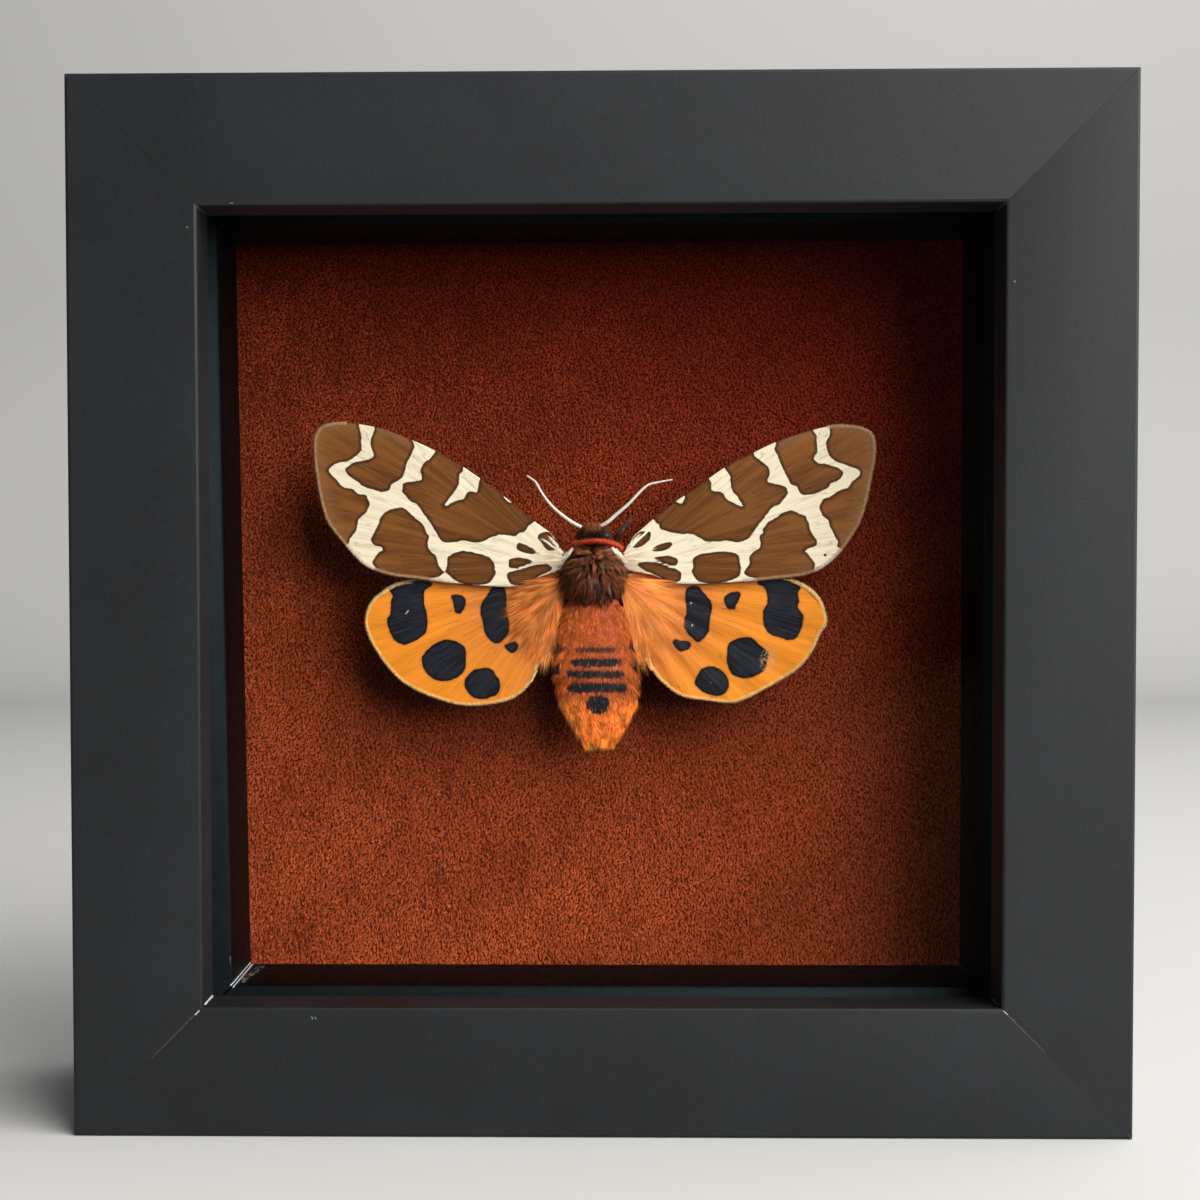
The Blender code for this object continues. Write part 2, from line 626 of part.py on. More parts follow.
def wings():
    wing("forewing_left", FOREWING_LEFT, FOREWING_Y, "forewing_scales")
    wing("forewing_right", FOREWING_RIGHT, FOREWING_Y, "forewing_scales")
    wing("hindwing_left", HINDWING_LEFT, HINDWING_Y, "hindwing_scales")
    wing("hindwing_right", HINDWING_RIGHT, HINDWING_Y, "hindwing_scales")


def limbs():
    """Antennae and legs, the folded ones in pairs on both sides of the body."""
    for name, points in (("left", ANTENNA_LEFT), ("right", ANTENNA_RIGHT)):
        bm = limb(points, ANTENNA_THICKNESS, ANTENNA_TIP)
        add_object("antenna_" + name, bm, "ivory_antenna", smooth=True)
    routes = {"foreleg_right": FORELEG_RIGHT, "foreleg_left": FORELEG_LEFT}
    for name, points in (("middle_leg", MIDDLE_LEG), ("hind_leg", HIND_LEG)):
        for side, sign in (("left", -1), ("right", 1)):
            routes[f"{name}_{side}"] = [(BODY_X + sign * x, y, z) for x, y, z in points]
    for name, points in routes.items():
        add_object(name, limb(points, LEG_THICKNESS, LEG_TIP), "dark_leg", smooth=True)


clear_scene()
parts = make_collection("framed_moth_specimen")
cutters = make_collection("cutters")
materials = {name: make_material(name) for name in COLOURS}

frame_rails()
spacers()
sheet_objects = stacked_sheets()
sawtooth_hanger(sheet_objects["back_panel"])
insect_pin()
thorax()
head()
abdomen()
wings()
limbs()
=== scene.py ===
# %% [markdown]
# # A tiger moth in a box frame
#
# The object is a moth, spread and dried, that is pinned over velvet in a small black box frame. A
# plain rigid model of it gives every size. This script dresses that model: it gives each surface
# its finish, and makes the wings, the fur and the pile of the velvet as fine meshes in the places
# of the plain solids. The plain solids never move, so a new piece takes its place from them.

# %% Load the rigid model
import math

import bmesh
import bpy
import numpy as np
from mathutils import Matrix, Vector


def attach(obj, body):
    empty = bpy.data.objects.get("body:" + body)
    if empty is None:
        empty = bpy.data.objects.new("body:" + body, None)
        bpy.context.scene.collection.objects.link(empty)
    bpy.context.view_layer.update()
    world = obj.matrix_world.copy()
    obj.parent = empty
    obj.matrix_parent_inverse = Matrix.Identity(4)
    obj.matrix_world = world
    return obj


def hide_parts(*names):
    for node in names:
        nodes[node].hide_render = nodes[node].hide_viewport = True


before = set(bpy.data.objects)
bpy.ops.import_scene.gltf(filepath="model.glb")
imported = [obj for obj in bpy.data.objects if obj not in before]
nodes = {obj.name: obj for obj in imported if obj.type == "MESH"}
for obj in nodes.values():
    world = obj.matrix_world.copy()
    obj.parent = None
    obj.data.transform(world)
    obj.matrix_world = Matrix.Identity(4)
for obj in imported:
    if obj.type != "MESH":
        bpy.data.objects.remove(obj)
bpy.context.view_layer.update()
print("solids in the rigid model:", len(nodes))

# %% [markdown]
# ## Units and places
#
# A moth is easiest to think of in millimetres from the middle of its frame, as one would measure
# it with a ruler laid on the glass. The model itself is in metres with its underside at zero. Two
# numbers take a place from one to the other, and random choices all come from one seeded source,
# so that every run grows the same hairs.

# %% Units
MM = 0.001
MIDDLE = Vector((0.0, 0.0, 0.0625))
BODY_X = -0.8
chance = np.random.default_rng(17)


def add_piece(mesh, finish, replaces=()):
    """Put a finished mesh into the scene as a piece that rides with the frame."""
    obj = bpy.data.objects.new(mesh.name, mesh)
    bpy.context.scene.collection.objects.link(obj)
    mesh.materials.clear()
    mesh.materials.append(finish.material)
    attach(obj, "root")
    if replaces:
        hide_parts(*replaces)
    return obj


def mesh_from(bm, name, smooth=True):
    """Turn a bmesh in millimetres from the middle into a mesh in metres, in its place."""
    bmesh.ops.scale(bm, vec=(MM, MM, MM), verts=bm.verts)
    bmesh.ops.translate(bm, vec=MIDDLE, verts=bm.verts)
    mesh = bpy.data.meshes.new(name)
    bm.to_mesh(mesh)
    bm.free()
    if smooth:
        mesh.shade_smooth()
    return mesh


def places_of(mesh):
    """The vertices of a mesh as an array, in millimetres from the middle."""
    places = np.zeros(3 * len(mesh.vertices))
    mesh.vertices.foreach_get("co", places)
    return (places.reshape(-1, 3) - np.array(MIDDLE)) / MM


def keep_on(mesh, name, values):
    """Store one number, or one vector, on each vertex of a mesh, for its finish to read."""
    values = np.asarray(values, dtype=np.float32)
    kind = "FLOAT" if values.ndim == 1 else "FLOAT_VECTOR"
    stored = mesh.attributes.new(name, kind, "POINT")
    stored.data.foreach_set("value" if values.ndim == 1 else "vector", values.ravel())


print("middle of the frame:", tuple(round(c, 4) for c in MIDDLE))

# %% [markdown]
# ## The camera
#
# The photograph was taken from close by, almost square on, a little to the left and a little
# above the middle. The corners of the frame's face and of the velvet fix the camera's place and
# its lens: a near camera makes the velvet at the back of the box look smaller than the opening in
# front. The picture is a crop, so its centre isn't where the lens points, and a small shift of
# the sensor takes that up.

# %% Camera
CAMERA_PLACE = (-0.002, -0.239765, 0.0665)
CAMERA_PITCH = math.radians(-1.79854)
CAMERA_YAW = math.radians(0.97769)
CAMERA_ROLL = math.radians(0.08958)

camera_data = bpy.data.cameras.new("camera")
camera_data.sensor_width = 36.0
camera_data.lens = 57.0
camera_data.shift_x = 0.0409
camera_data.shift_y = 0.0284
camera_data.clip_start = 0.01
camera = bpy.data.objects.new("camera", camera_data)
turn = (
    Matrix.Rotation(CAMERA_YAW, 4, "Z")
    @ Matrix.Rotation(CAMERA_PITCH, 4, "X")
    @ Matrix.Rotation(CAMERA_ROLL, 4, "Y")
    @ Matrix.Rotation(math.radians(90), 4, "X")
)
camera.matrix_world = Matrix.Translation(CAMERA_PLACE) @ turn
bpy.context.scene.collection.objects.link(camera)
bpy.context.scene.camera = camera
print("lens:", camera_data.lens, "mm")

# %% [markdown]
# ## Writing a finish
#
# A finish is a sum of small patterns: grain, streaks, worn edges. Node by node that is long to
# write and hard to read, so one small class wraps a number in a shader and lets it be added and
# multiplied like any other number in Python. A second class holds the material, and one method of
# it makes any other kind of node.

# %% Shader numbers
class Number:
    """A number that a shader works out at each point. Sums and products make Math nodes."""

    def __init__(self, finish, socket):
        self.finish = finish
        self.socket = socket

    def join(self, operation, first, second=0.0):
        made = self.finish.node("ShaderNodeMath", {"operation": operation}, {0: first, 1: second})
        return Number(self.finish, made.outputs[0])

    def __add__(self, other):
        return self.join("ADD", self, other)

    def __radd__(self, other):
        return self.join("ADD", other, self)

    def __sub__(self, other):
        return self.join("SUBTRACT", self, other)

    def __rsub__(self, other):
        return self.join("SUBTRACT", other, self)

    def __mul__(self, other):
        return self.join("MULTIPLY", self, other)

    def __rmul__(self, other):
        return self.join("MULTIPLY", other, self)

    def __pow__(self, other):
        return self.join("POWER", self, other)

    def __abs__(self):
        return self.join("ABSOLUTE", self)

    def or_more(self, other):
        return self.join("MAXIMUM", self, other)

    def or_less(self, other):
        return self.join("MINIMUM", self, other)


# %% A material under way
class Finish:
    """A material, and the patterns that it is made of."""

    def __init__(self, name, **settings):
        self.material = bpy.data.materials.new(name)
        self.material.use_nodes = True
        self.tree = self.material.node_tree
        self.shader = self.tree.nodes["Principled BSDF"]
        self.unrest = None
        for socket, value in settings.items():
            self.set(socket.replace("_", " "), value)

    def set(self, socket, value):
        """Give an input of the surface a value, or link it to a pattern."""
        self.feed(self.shader.inputs[socket], value)

    def feed(self, socket, value):
        if isinstance(value, Number):
            value = value.socket
        if isinstance(value, bpy.types.NodeSocket):
            self.tree.links.new(value, socket)
        elif socket.type == "RGBA" and len(value) == 3:
            socket.default_value = (*value, 1.0)
        else:
            socket.default_value = value

    def node(self, kind, settings=None, inputs=None):
        """Make a node of any kind: its settings first, then the values or links of its inputs."""
        made = self.tree.nodes.new(kind)
        for name, value in (settings or {}).items():
            setattr(made, name, value)
        for name, value in (inputs or {}).items():
            self.feed(made.inputs[name], value)
        return made

    def place(self):
        """Where a point is, in millimetres from the middle of the frame."""
        found = self.node("ShaderNodeTexCoord")
        moved = self.node(
            "ShaderNodeMapping",
            {"vector_type": "POINT"},
            {
                "Vector": found.outputs["Object"],
                "Scale": (1 / MM, 1 / MM, 1 / MM),
                "Location": tuple(-c / MM for c in MIDDLE),
            },
        )
        return moved.outputs["Vector"]

    def stored(self, name, output="Fac"):
        """A value that was stored on the mesh."""
        found = self.node("ShaderNodeAttribute", {"attribute_name": name})
        return found.outputs[output] if output == "Vector" else Number(self, found.outputs[output])

    def sides(self, vector):
        """The three parts of a vector, each as a number."""
        parted = self.node("ShaderNodeSeparateXYZ", None, {"Vector": vector})
        return [Number(self, parted.outputs[i]) for i in range(3)]

    def stretch(self, vector, factors):
        made = self.node("ShaderNodeVectorMath", {"operation": "MULTIPLY"}, {0: vector, 1: factors})
        return made.outputs["Vector"]

    def noise(self, vector, scale=1.0, detail=2.0, roughness=0.5):
        """Cloudy noise from 0 to 1; scale is how many clouds there are to a millimetre."""
        made = self.node(
            "ShaderNodeTexNoise",
            {"noise_dimensions": "3D"},
            {"Vector": vector, "Scale": scale, "Detail": detail, "Roughness": roughness},
        )
        return Number(self, made.outputs["Fac"])

    def rise(self, value, low, high, start=0.0, end=1.0):
        """A soft step from start to end, as value goes from low to high."""
        made = self.node(
            "ShaderNodeMapRange",
            {"interpolation_type": "SMOOTHSTEP", "clamp": True},
            {"Value": value, "From Min": low, "From Max": high, "To Min": start, "To Max": end},
        )
        return Number(self, made.outputs["Result"])

    def blend(self, share, first, second):
        """The first colour where share is 0, and the second where it is 1."""
        made = self.node(
            "ShaderNodeMix", {"data_type": "RGBA", "clamp_factor": True}, {0: share, 6: first, 7: second}
        )
        return made.outputs[2]

    def tint(self, colour, factor):
        """A colour made lighter or darker by a number."""
        made = self.node("ShaderNodeVectorMath", {"operation": "SCALE"}, {0: colour, "Scale": factor})
        return made.outputs["Vector"]

    def relief(self, height, depth, strength=1.0):
        """Let a pattern stand out of the surface, by depth in metres."""
        made = self.node(
            "ShaderNodeBump", None, {"Height": height, "Distance": depth, "Strength": strength}
        )
        self.set("Normal", made.outputs["Normal"])

    def near_line(self, place, start, end, radius, ragged=0.0):
        """1 on a line between two points, falling to 0 at radius from it."""
        line = Vector(end) - Vector(start)
        offset = self.node("ShaderNodeVectorMath", {"operation": "SUBTRACT"}, {0: place, 1: start})
        offset = offset.outputs["Vector"]
        dot = self.node(
            "ShaderNodeVectorMath", {"operation": "DOT_PRODUCT"}, {0: offset, 1: line / line.length_squared}
        )
        along = Number(self, dot.outputs["Value"]).or_more(0.0).or_less(1.0)
        foot = self.node("ShaderNodeVectorMath", {"operation": "SCALE"}, {0: line, "Scale": along})
        away = self.node(
            "ShaderNodeVectorMath", {"operation": "DISTANCE"}, {0: offset, 1: foot.outputs["Vector"]}
        )
        distance = Number(self, away.outputs["Value"])
        if ragged:
            self.unrest = self.unrest or self.noise(place, 2.5, 2.0, 0.7) - 0.5
            distance = distance + self.unrest * ragged
        return self.rise(distance, radius * 0.5, radius, 1.0, 0.0)


print("the classes for finishes are ready")

# %% [markdown]
# ## Floor, backdrop and light
#
# The frame stands on a pale floor that sweeps up into a pale backdrop, as in a product studio. In
# the photograph daylight comes from the upper right: the top and right of the velvet lie in the
# shadow of the frame, and the moth's own shadow falls to its lower left. One large soft light does
# that, a weak one from the left opens the shadows, and a faint pale room does the rest. The paper
# itself throws no light up into the case, where it would wash out the deep red. What shines
# sees that room brighter at the right than at the left, as beside a window.

# %% Floor and backdrop
SWEEP_BACK = 0.75
SWEEP_RADIUS = 0.25
SWEEP_HALF = 4.0

bm = bmesh.new()
bmesh.ops.create_grid(bm, x_segments=1, y_segments=1, size=SWEEP_HALF)
bmesh.ops.translate(bm, vec=(0, SWEEP_BACK - SWEEP_HALF, 0), verts=bm.verts)
edge = [e for e in bm.edges if all(v.co.y > SWEEP_BACK - 0.01 for v in e.verts)]
swept = bmesh.ops.spin(
    bm, geom=edge, cent=(0, SWEEP_BACK, SWEEP_RADIUS), axis=(1, 0, 0), angle=math.radians(90),
    steps=16,
)
top_edge = [item for item in swept["geom_last"] if isinstance(item, bmesh.types.BMEdge)]
raised = bmesh.ops.extrude_edge_only(bm, edges=top_edge)["geom"]
bmesh.ops.translate(
    bm, vec=(0, 0, 1.2), verts=[item for item in raised if isinstance(item, bmesh.types.BMVert)]
)
bmesh.ops.remove_doubles(bm, verts=bm.verts, dist=0.0001)
bmesh.ops.recalc_face_normals(bm, faces=bm.faces)
sweep_mesh = bpy.data.meshes.new("studio_sweep")
bm.to_mesh(sweep_mesh)
bm.free()
sweep_mesh.shade_smooth()
sweep = bpy.data.objects.new("studio_sweep", sweep_mesh)
bpy.context.scene.collection.objects.link(sweep)
paper = Finish("pale_paper", Base_Color=(0.58, 0.57, 0.55), Roughness=0.9)
sweep_mesh.materials.append(paper.material)
sweep.visible_diffuse = False
print("backdrop faces:", len(sweep_mesh.polygons))

# %% Lights
ROOM_LIGHT = 0.12
GLOSS_LEFT, GLOSS_RIGHT = 0.06, 0.90

scene = bpy.context.scene
scene.view_settings.view_transform = "Standard"
scene.view_settings.look = "None"


def soft_light(name, place, width, power, colour, aim=tuple(MIDDLE)):
    """A square light that faces the moth, or another place."""
    light = bpy.data.lights.new(name, "AREA")
    light.size = width
    light.energy = power
    light.color = colour
    obj = bpy.data.objects.new(name, light)
    obj.location = place
    obj.rotation_euler = (Vector(aim) - Vector(place)).to_track_quat("-Z", "Y").to_euler()
    scene.collection.objects.link(obj)


soft_light("window_light", (0.60, -0.52, 0.54), 1.00, 21.5, (1.0, 0.99, 0.97))
soft_light("left_fill", (-0.75, -0.60, 0.20), 0.6, 0.5, (1.0, 0.92, 0.82))
soft_light("backdrop_light", (0.35, 0.25, 1.25), 0.6, 7.0, (1.0, 1.0, 1.0), (0.1, 1.0, 0.2))

world = bpy.data.worlds.new("pale_room")
scene.world = world
world.use_nodes = True
room = world.node_tree
surround = room.nodes["Background"]
surround.inputs["Color"].default_value = (0.86, 0.92, 1.0, 1.0)
way = room.nodes.new("ShaderNodeTexCoord")
parts = room.nodes.new("ShaderNodeSeparateXYZ")
room.links.new(way.outputs["Generated"], parts.inputs["Vector"])
seen_in_gloss = room.nodes.new("ShaderNodeMapRange")
for socket, value in (
    ("From Min", -0.5), ("From Max", 0.5), ("To Min", GLOSS_LEFT), ("To Max", GLOSS_RIGHT)
):
    seen_in_gloss.inputs[socket].default_value = value
room.links.new(parts.outputs["X"], seen_in_gloss.inputs["Value"])
dimmer_above = room.nodes.new("ShaderNodeMapRange")
dimmer_above.inputs["From Max"].default_value = 0.6
dimmer_above.inputs["To Min"].default_value = 1.0
dimmer_above.inputs["To Max"].default_value = 0.25
room.links.new(parts.outputs["Z"], dimmer_above.inputs["Value"])
gloss = room.nodes.new("ShaderNodeMath")
gloss.operation = "MULTIPLY"
room.links.new(seen_in_gloss.outputs["Result"], gloss.inputs[0])
room.links.new(dimmer_above.outputs["Result"], gloss.inputs[1])
path = room.nodes.new("ShaderNodeLightPath")
strength = room.nodes.new("ShaderNodeMapRange")
strength.inputs["To Min"].default_value = ROOM_LIGHT
room.links.new(path.outputs["Is Glossy Ray"], strength.inputs["Value"])
room.links.new(gloss.outputs["Value"], strength.inputs["To Max"])
room.links.new(strength.outputs["Result"], surround.inputs["Strength"])

# %% [markdown]
# ## The black frame
#
# The rails are a wooden moulding wrapped in matt charcoal foil. The foil has a very fine grain and
# takes the light softly. Where the foil is cut at the mitres its pale core shows as hairlines and
# small chips, most of all at the lower left, and a few specks of dust lie on the face. Chips are
# drawn as worn lines: short lines in space, with ragged edges, at the places where the photograph
# shows them.

# %% Foil of the rails
FACE_Y = -17.5
LIP_Y = -11.6
CORNER = 46.95
PALE_CORE = (0.62, 0.60, 0.56)
BROWN_CORE = (0.14, 0.10, 0.075)
FAINT_CORE = (0.11, 0.11, 0.11)
DUST = (0.17, 0.18, 0.18)
FOIL = (0.0036, 0.0044, 0.0054)
FOIL_LIGHT = (0.0078, 0.0094, 0.0112)

foil = Finish("charcoal_foil", Roughness=0.5, Specular_IOR_Level=0.34)
place = foil.place()
grain = foil.noise(place, 3.4, 3.0, 0.6)
clouds = foil.noise(place, 0.05, 3.0, 0.55)
shade = foil.blend(foil.rise(grain * 0.55 + clouds * 0.45, 0.36, 0.64), FOIL, FOIL_LIGHT)
pale_wear = [
    ((-CORNER, FACE_Y + 1.2, -CORNER), (-CORNER, LIP_Y, -CORNER), 0.13, 0.26),
    ((-47.45, FACE_Y, -47.5), (-47.85, FACE_Y, -47.9), 0.12, 0.16),
    ((47.0, FACE_Y, -47.0), (47.7, FACE_Y, -47.7), 0.07, 0.08),
]
faint_wear = [
    ((-47.2, FACE_Y, -47.2), (-53.0, FACE_Y, -53.0), 0.045, 0.10),
    ((47.4, FACE_Y, -47.4), (52.0, FACE_Y, -52.0), 0.04, 0.09),
    ((48.35, FACE_Y, -48.3), (48.45, FACE_Y, -48.4), 0.12, 0.08),
]
dust_specks = [
    ((-34.1, FACE_Y, -48.2), (-34.0, FACE_Y, -48.4), 0.11, 0.06),
    ((-33.7, FACE_Y, -48.2), (-33.6, FACE_Y, -48.4), 0.10, 0.06),
    ((48.0, FACE_Y, 37.9), (48.1, FACE_Y, 37.8), 0.10, 0.06),
    ((-43.1, FACE_Y, 47.3), (-42.8, FACE_Y, 47.3), 0.10, 0.06),
    ((-48.2, FACE_Y, 44.6), (-48.1, FACE_Y, 44.5), 0.09, 0.06),
]
brown_wear = [
    ((-CORNER, FACE_Y, CORNER), (-CORNER, -13.0, CORNER), 0.20, 0.30),
    ((CORNER, FACE_Y, CORNER), (CORNER, -13.5, CORNER), 0.22, 0.30),
    ((CORNER, FACE_Y + 1.5, -CORNER), (CORNER, -12.5, -CORNER), 0.20, 0.28),
]
for lines, colour in (
    (brown_wear, BROWN_CORE),
    (faint_wear, FAINT_CORE),
    (pale_wear, PALE_CORE),
    (dust_specks, DUST),
):
    worn = 0.0
    for start, end, radius, ragged in lines:
        near = foil.near_line(place, start, end, radius, ragged)
        worn = near if worn == 0.0 else worn.or_more(near)
    shade = foil.blend(worn, shade, colour)
dust = foil.node("ShaderNodeTexVoronoi", {"feature": "F1"}, {"Vector": place, "Scale": 0.22})
speck = foil.rise(Number(foil, dust.outputs["Distance"]), 0.010, 0.022, 1.0, 0.0)
chosen = foil.rise(Number(foil, dust.outputs["Color"]), 0.62, 0.64)
foil.set("Base Color", foil.blend(speck * chosen * 0.6, shade, (0.35, 0.36, 0.36)))
foil.set("Roughness", foil.rise(clouds + grain * 0.3, 0.45, 0.85, 0.50, 0.56))
foil.relief(grain, 0.00003, 0.5)


def refinish(names, finish):
    """Give solids of the rigid model a new finish; their shape stays as it is."""
    for name in names:
        node = nodes[name]
        node.data.materials.clear()
        node.data.materials.append(finish.material)
    print(finish.material.name, "on", ", ".join(names))


print("foil finish and", refinish.__name__, "helper ready")

# %% [markdown]
# In the rigid model the mitred ends of the rails stand a tenth of a millimetre apart, so that the
# solids keep clear of each other. On the real frame they are glued shut and the joint is a bare
# hairline. So each rail shows as a copy of its solid whose ends are drawn out to the joint.

# %% Rails with closed mitres
MITRE_SEAM = 0.012


def with_closed_mitres(node, name, reach=0.4):
    """A copy of a bar's solid whose two mitred ends reach almost to the diagonals."""
    bm = bmesh.new()
    bm.from_mesh(nodes[node].data)
    bmesh.ops.remove_doubles(bm, verts=bm.verts, dist=0.00001)
    level = node.endswith(("top", "bottom"))
    for vert in bm.verts:
        along, across = (0, 2) if level else (2, 0)
        place = vert.co - MIDDLE
        if abs(abs(place[0]) - abs(place[2])) < reach * MM:
            drawn = abs(place[across]) - MITRE_SEAM * MM
            vert.co[along] = MIDDLE[along] + math.copysign(drawn, place[along])
    mesh = bpy.data.meshes.new(name)
    bm.to_mesh(mesh)
    bm.free()
    mesh.shade_smooth()
    mesh.set_sharp_from_angle(angle=math.radians(12))
    return mesh


for side in ("top", "bottom", "left", "right"):
    node = "frame_" + side
    add_piece(with_closed_mitres(node, "rail_" + side), foil, [node])
print("rails drawn out to their mitres")

# %% [markdown]
# ## The spacer strips
#
# Four black strips hold the glass off the velvet. Only their thin front edge and their inner face
# show. The front edge is slightly round and catches a bluish line of light, so each strip is a
# copy of its solid with its long edges rounded; the solid itself stays sharp. That line is also
# painted into the colour of the front edge as a painted highlight, and the inner faces are painted
# darker as painted shade. The strips shine a little more than the frame, and the mitre at the lower
# left is rubbed down to its white core.

# %% Finish of the strips
STRIP_FRONT = -8.9
STRIP_BACK = 4.7

strip = Finish("black_strip", Roughness=0.5, IOR=1.12)
place = strip.place()
long_grain = strip.noise(strip.stretch(place, (0.35, 1.0, 0.35)), 2.2, 3.0, 0.6)
# Painted highlight and painted shade: the front edge of each strip is coloured lighter and bluish, as if it
# caught the light, and the inner walls near black, as if in shade.
front = strip.rise(strip.sides(place)[1], STRIP_FRONT, STRIP_FRONT + 0.6, 1.0, 0.0)
painted_shade_walls = strip.blend(long_grain, (0.0010, 0.0009, 0.0011), (0.0028, 0.0024, 0.0028))
painted_highlight_fronts = strip.blend(long_grain, (0.005, 0.008, 0.009), (0.016, 0.023, 0.026))
shade = strip.blend(front, painted_shade_walls, painted_highlight_fronts)
rubbed = strip.near_line(
    place, (-45.05, STRIP_FRONT, -46.35), (-44.98, STRIP_BACK, -46.30), 0.32, 0.36
)
fluff = strip.noise(strip.stretch(place, (1.0, 0.5, 4.0)), 2.4, 4.0, 0.75)
scuffed = strip.near_line(
    place, (-44.4, STRIP_FRONT + 2.5, -46.4), (-43.6, STRIP_BACK - 2.2, -46.4), 0.7, 0.6
)
scuffed = scuffed * strip.rise(fluff, 0.52, 0.62) * 0.45
left_scuff = strip.near_line(place, (-45.3, -8.9, -42.8), (-45.2, -8.9, -44.3), 0.14, 0.2) * 0.25
corner_line = strip.near_line(place, (46.7, -8.6, 46.9), (46.7, 3.5, 46.9), 0.16, 0.12) * 0.35
wear = rubbed.or_more(scuffed).or_more(left_scuff).or_more(corner_line)
strip.set("Base Color", strip.blend(wear, shade, (0.80, 0.82, 0.84)))
strip.set("Roughness", strip.rise(long_grain + wear, 0.3, 0.9, 0.45, 0.7))
strip.relief(long_grain, 0.00004, 0.6)
print("strip finish made")

# %% Rounded strips
STRIP_ROUNDING = 0.35
MITRE_CLOSING = 0.16

for side in ("top", "bottom", "left", "right"):
    node = "spacer_" + side
    bm = bmesh.new()
    bm.from_mesh(nodes[node].data)
    bmesh.ops.remove_doubles(bm, verts=bm.verts, dist=0.00001)
    bmesh.ops.dissolve_limit(bm, angle_limit=0.01, verts=bm.verts, edges=bm.edges)
    for vert in bm.verts:
        if side == "bottom" and vert.co.x < 0:
            vert.co.x -= MITRE_CLOSING * MM
        if side == "left" and vert.co.z < MIDDLE.z:
            vert.co.z -= MITRE_CLOSING / 2 * MM
    sharp = [e for e in bm.edges if e.calc_length() > 50 * MM and e.calc_face_angle(0.0) > 1.0]
    bmesh.ops.bevel(
        bm, geom=sharp, offset=STRIP_ROUNDING * MM, segments=4, profile=0.5, affect="EDGES",
        material=-1,
    )
    mesh = bpy.data.meshes.new("strip_" + side)
    bm.to_mesh(mesh)
    bm.free()
    mesh.shade_smooth()
    add_piece(mesh, strip, [node])
    print(mesh.name, len(mesh.polygons), "faces")

# %% [markdown]
# ## The glass
#
# A true glass material would bend every ray of light on its way to the moth, and a renderer finds
# such light slowly and with noise. For a thin flat pane another way looks the same: a clear
# surface that lets light straight through and mirrors only a share of it, set by the angle. The
# photograph shows no reflection at all, as coated glass face on, so the share starts near nothing
# there and grows towards the edge-on view.

# %% Glass pane
FACE_ON_SHARE, EDGE_ON_SHARE = 0.001, 0.85

pane = Finish("clear_pane", Base_Color=(0.96, 0.98, 0.97), Metallic=1.0, Roughness=0.015)
turned = pane.node("ShaderNodeLayerWeight", None, {"Blend": 0.5})
turned = Number(pane, turned.outputs["Facing"])
pane.set("Alpha", turned**5 * EDGE_ON_SHARE + FACE_ON_SHARE)
refinish(["glass_pane"], pane)

# %% [markdown]
# ## Card, hardboard and steel behind
#
# The back is closed with a sheet of hardboard, a felt of brown wood fibres pressed hard, so its
# finish is long mottled fibres over darker specks. Flat steel points hold it in, and a toothed
# steel plate is there to hang it by. Both are plain rolled steel with fine lines along the metal.

# %% Finish of the back
hardboard = Finish("brown_hardboard", Roughness=0.62)
place = hardboard.place()
fibres = hardboard.noise(hardboard.stretch(place, (1.0, 1.0, 0.25)), 1.3, 5.0, 0.68)
crossing = hardboard.noise(hardboard.stretch(place, (0.2, 1.0, 1.0)), 1.6, 5.0, 0.68)
mottle = hardboard.noise(place, 0.06, 3.0, 0.5)
felt = fibres.or_more(crossing)
shade = hardboard.blend(hardboard.rise(felt, 0.42, 0.75), (0.105, 0.052, 0.022), (0.29, 0.165, 0.082))
shade = hardboard.tint(shade, hardboard.rise(mottle, 0.3, 0.7, 0.85, 1.12))
hardboard.set("Base Color", shade)
hardboard.relief(felt, 0.00008, 0.5)
refinish(["back_panel"], hardboard)

card = Finish("grey_card", Roughness=0.9)
place = card.place()
flecks = card.noise(place, 2.0, 4.0, 0.7)
card.set("Base Color", card.blend(card.rise(flecks, 0.35, 0.7), (0.33, 0.31, 0.28), (0.48, 0.46, 0.42)))
card.relief(flecks, 0.00004, 0.4)
refinish(["mount_board"], card)

steel = Finish("rolled_steel", Metallic=1.0)
place = steel.place()
lines = steel.noise(steel.stretch(place, (0.25, 1.0, 6.0)), 2.0, 3.0, 0.6)
stain = steel.noise(place, 0.35, 4.0, 0.6)
shade = steel.blend(steel.rise(lines, 0.35, 0.65), (0.42, 0.42, 0.41), (0.60, 0.60, 0.59))
shade = steel.blend(steel.rise(stain, 0.62, 0.74) * 0.6, shade, (0.23, 0.17, 0.12))
steel.set("Base Color", shade)
steel.set("Roughness", steel.rise(lines * 0.6 + stain * 0.4, 0.3, 0.7, 0.26, 0.46))
steel.relief(lines, 0.00002, 0.4)
steel_names = [name for name in sorted(nodes) if name.startswith(("frame_point", "hanger_rivet"))]
refinish(steel_names + ["sawtooth_hanger", "insect_pin"], steel)

# %% [markdown]
# ## The velvet
#
# Velvet is a woven ground with a dense pile of cut threads that stand out of it. The pile leans
# where a hand has brushed it, and each bundle of threads catches the light on its own, which gives
# the short curly streaks in the photograph. A flat picture of that would not catch the light
# rightly, so the ground is one thin sheet and the pile is made for real: tens of thousands of
# small leaning tufts, in one mesh.

# %% Velvet ground
VELVET_SIDE = 99.4
GROUND_Y = 5.55
GROUND_THICKNESS = 0.35

velvet = Finish("rust_velvet", Roughness=0.9, Specular_IOR_Level=0.05)
along = velvet.stored("along")
tone = velvet.stored("tone")
# Painted shade: the pile is coloured darker towards its roots, where the tufts shade each other.
shade = velvet.blend(along, (0.090, 0.008, 0.002), (0.505, 0.097, 0.028))
across, _, upward = velvet.sides(velvet.place())
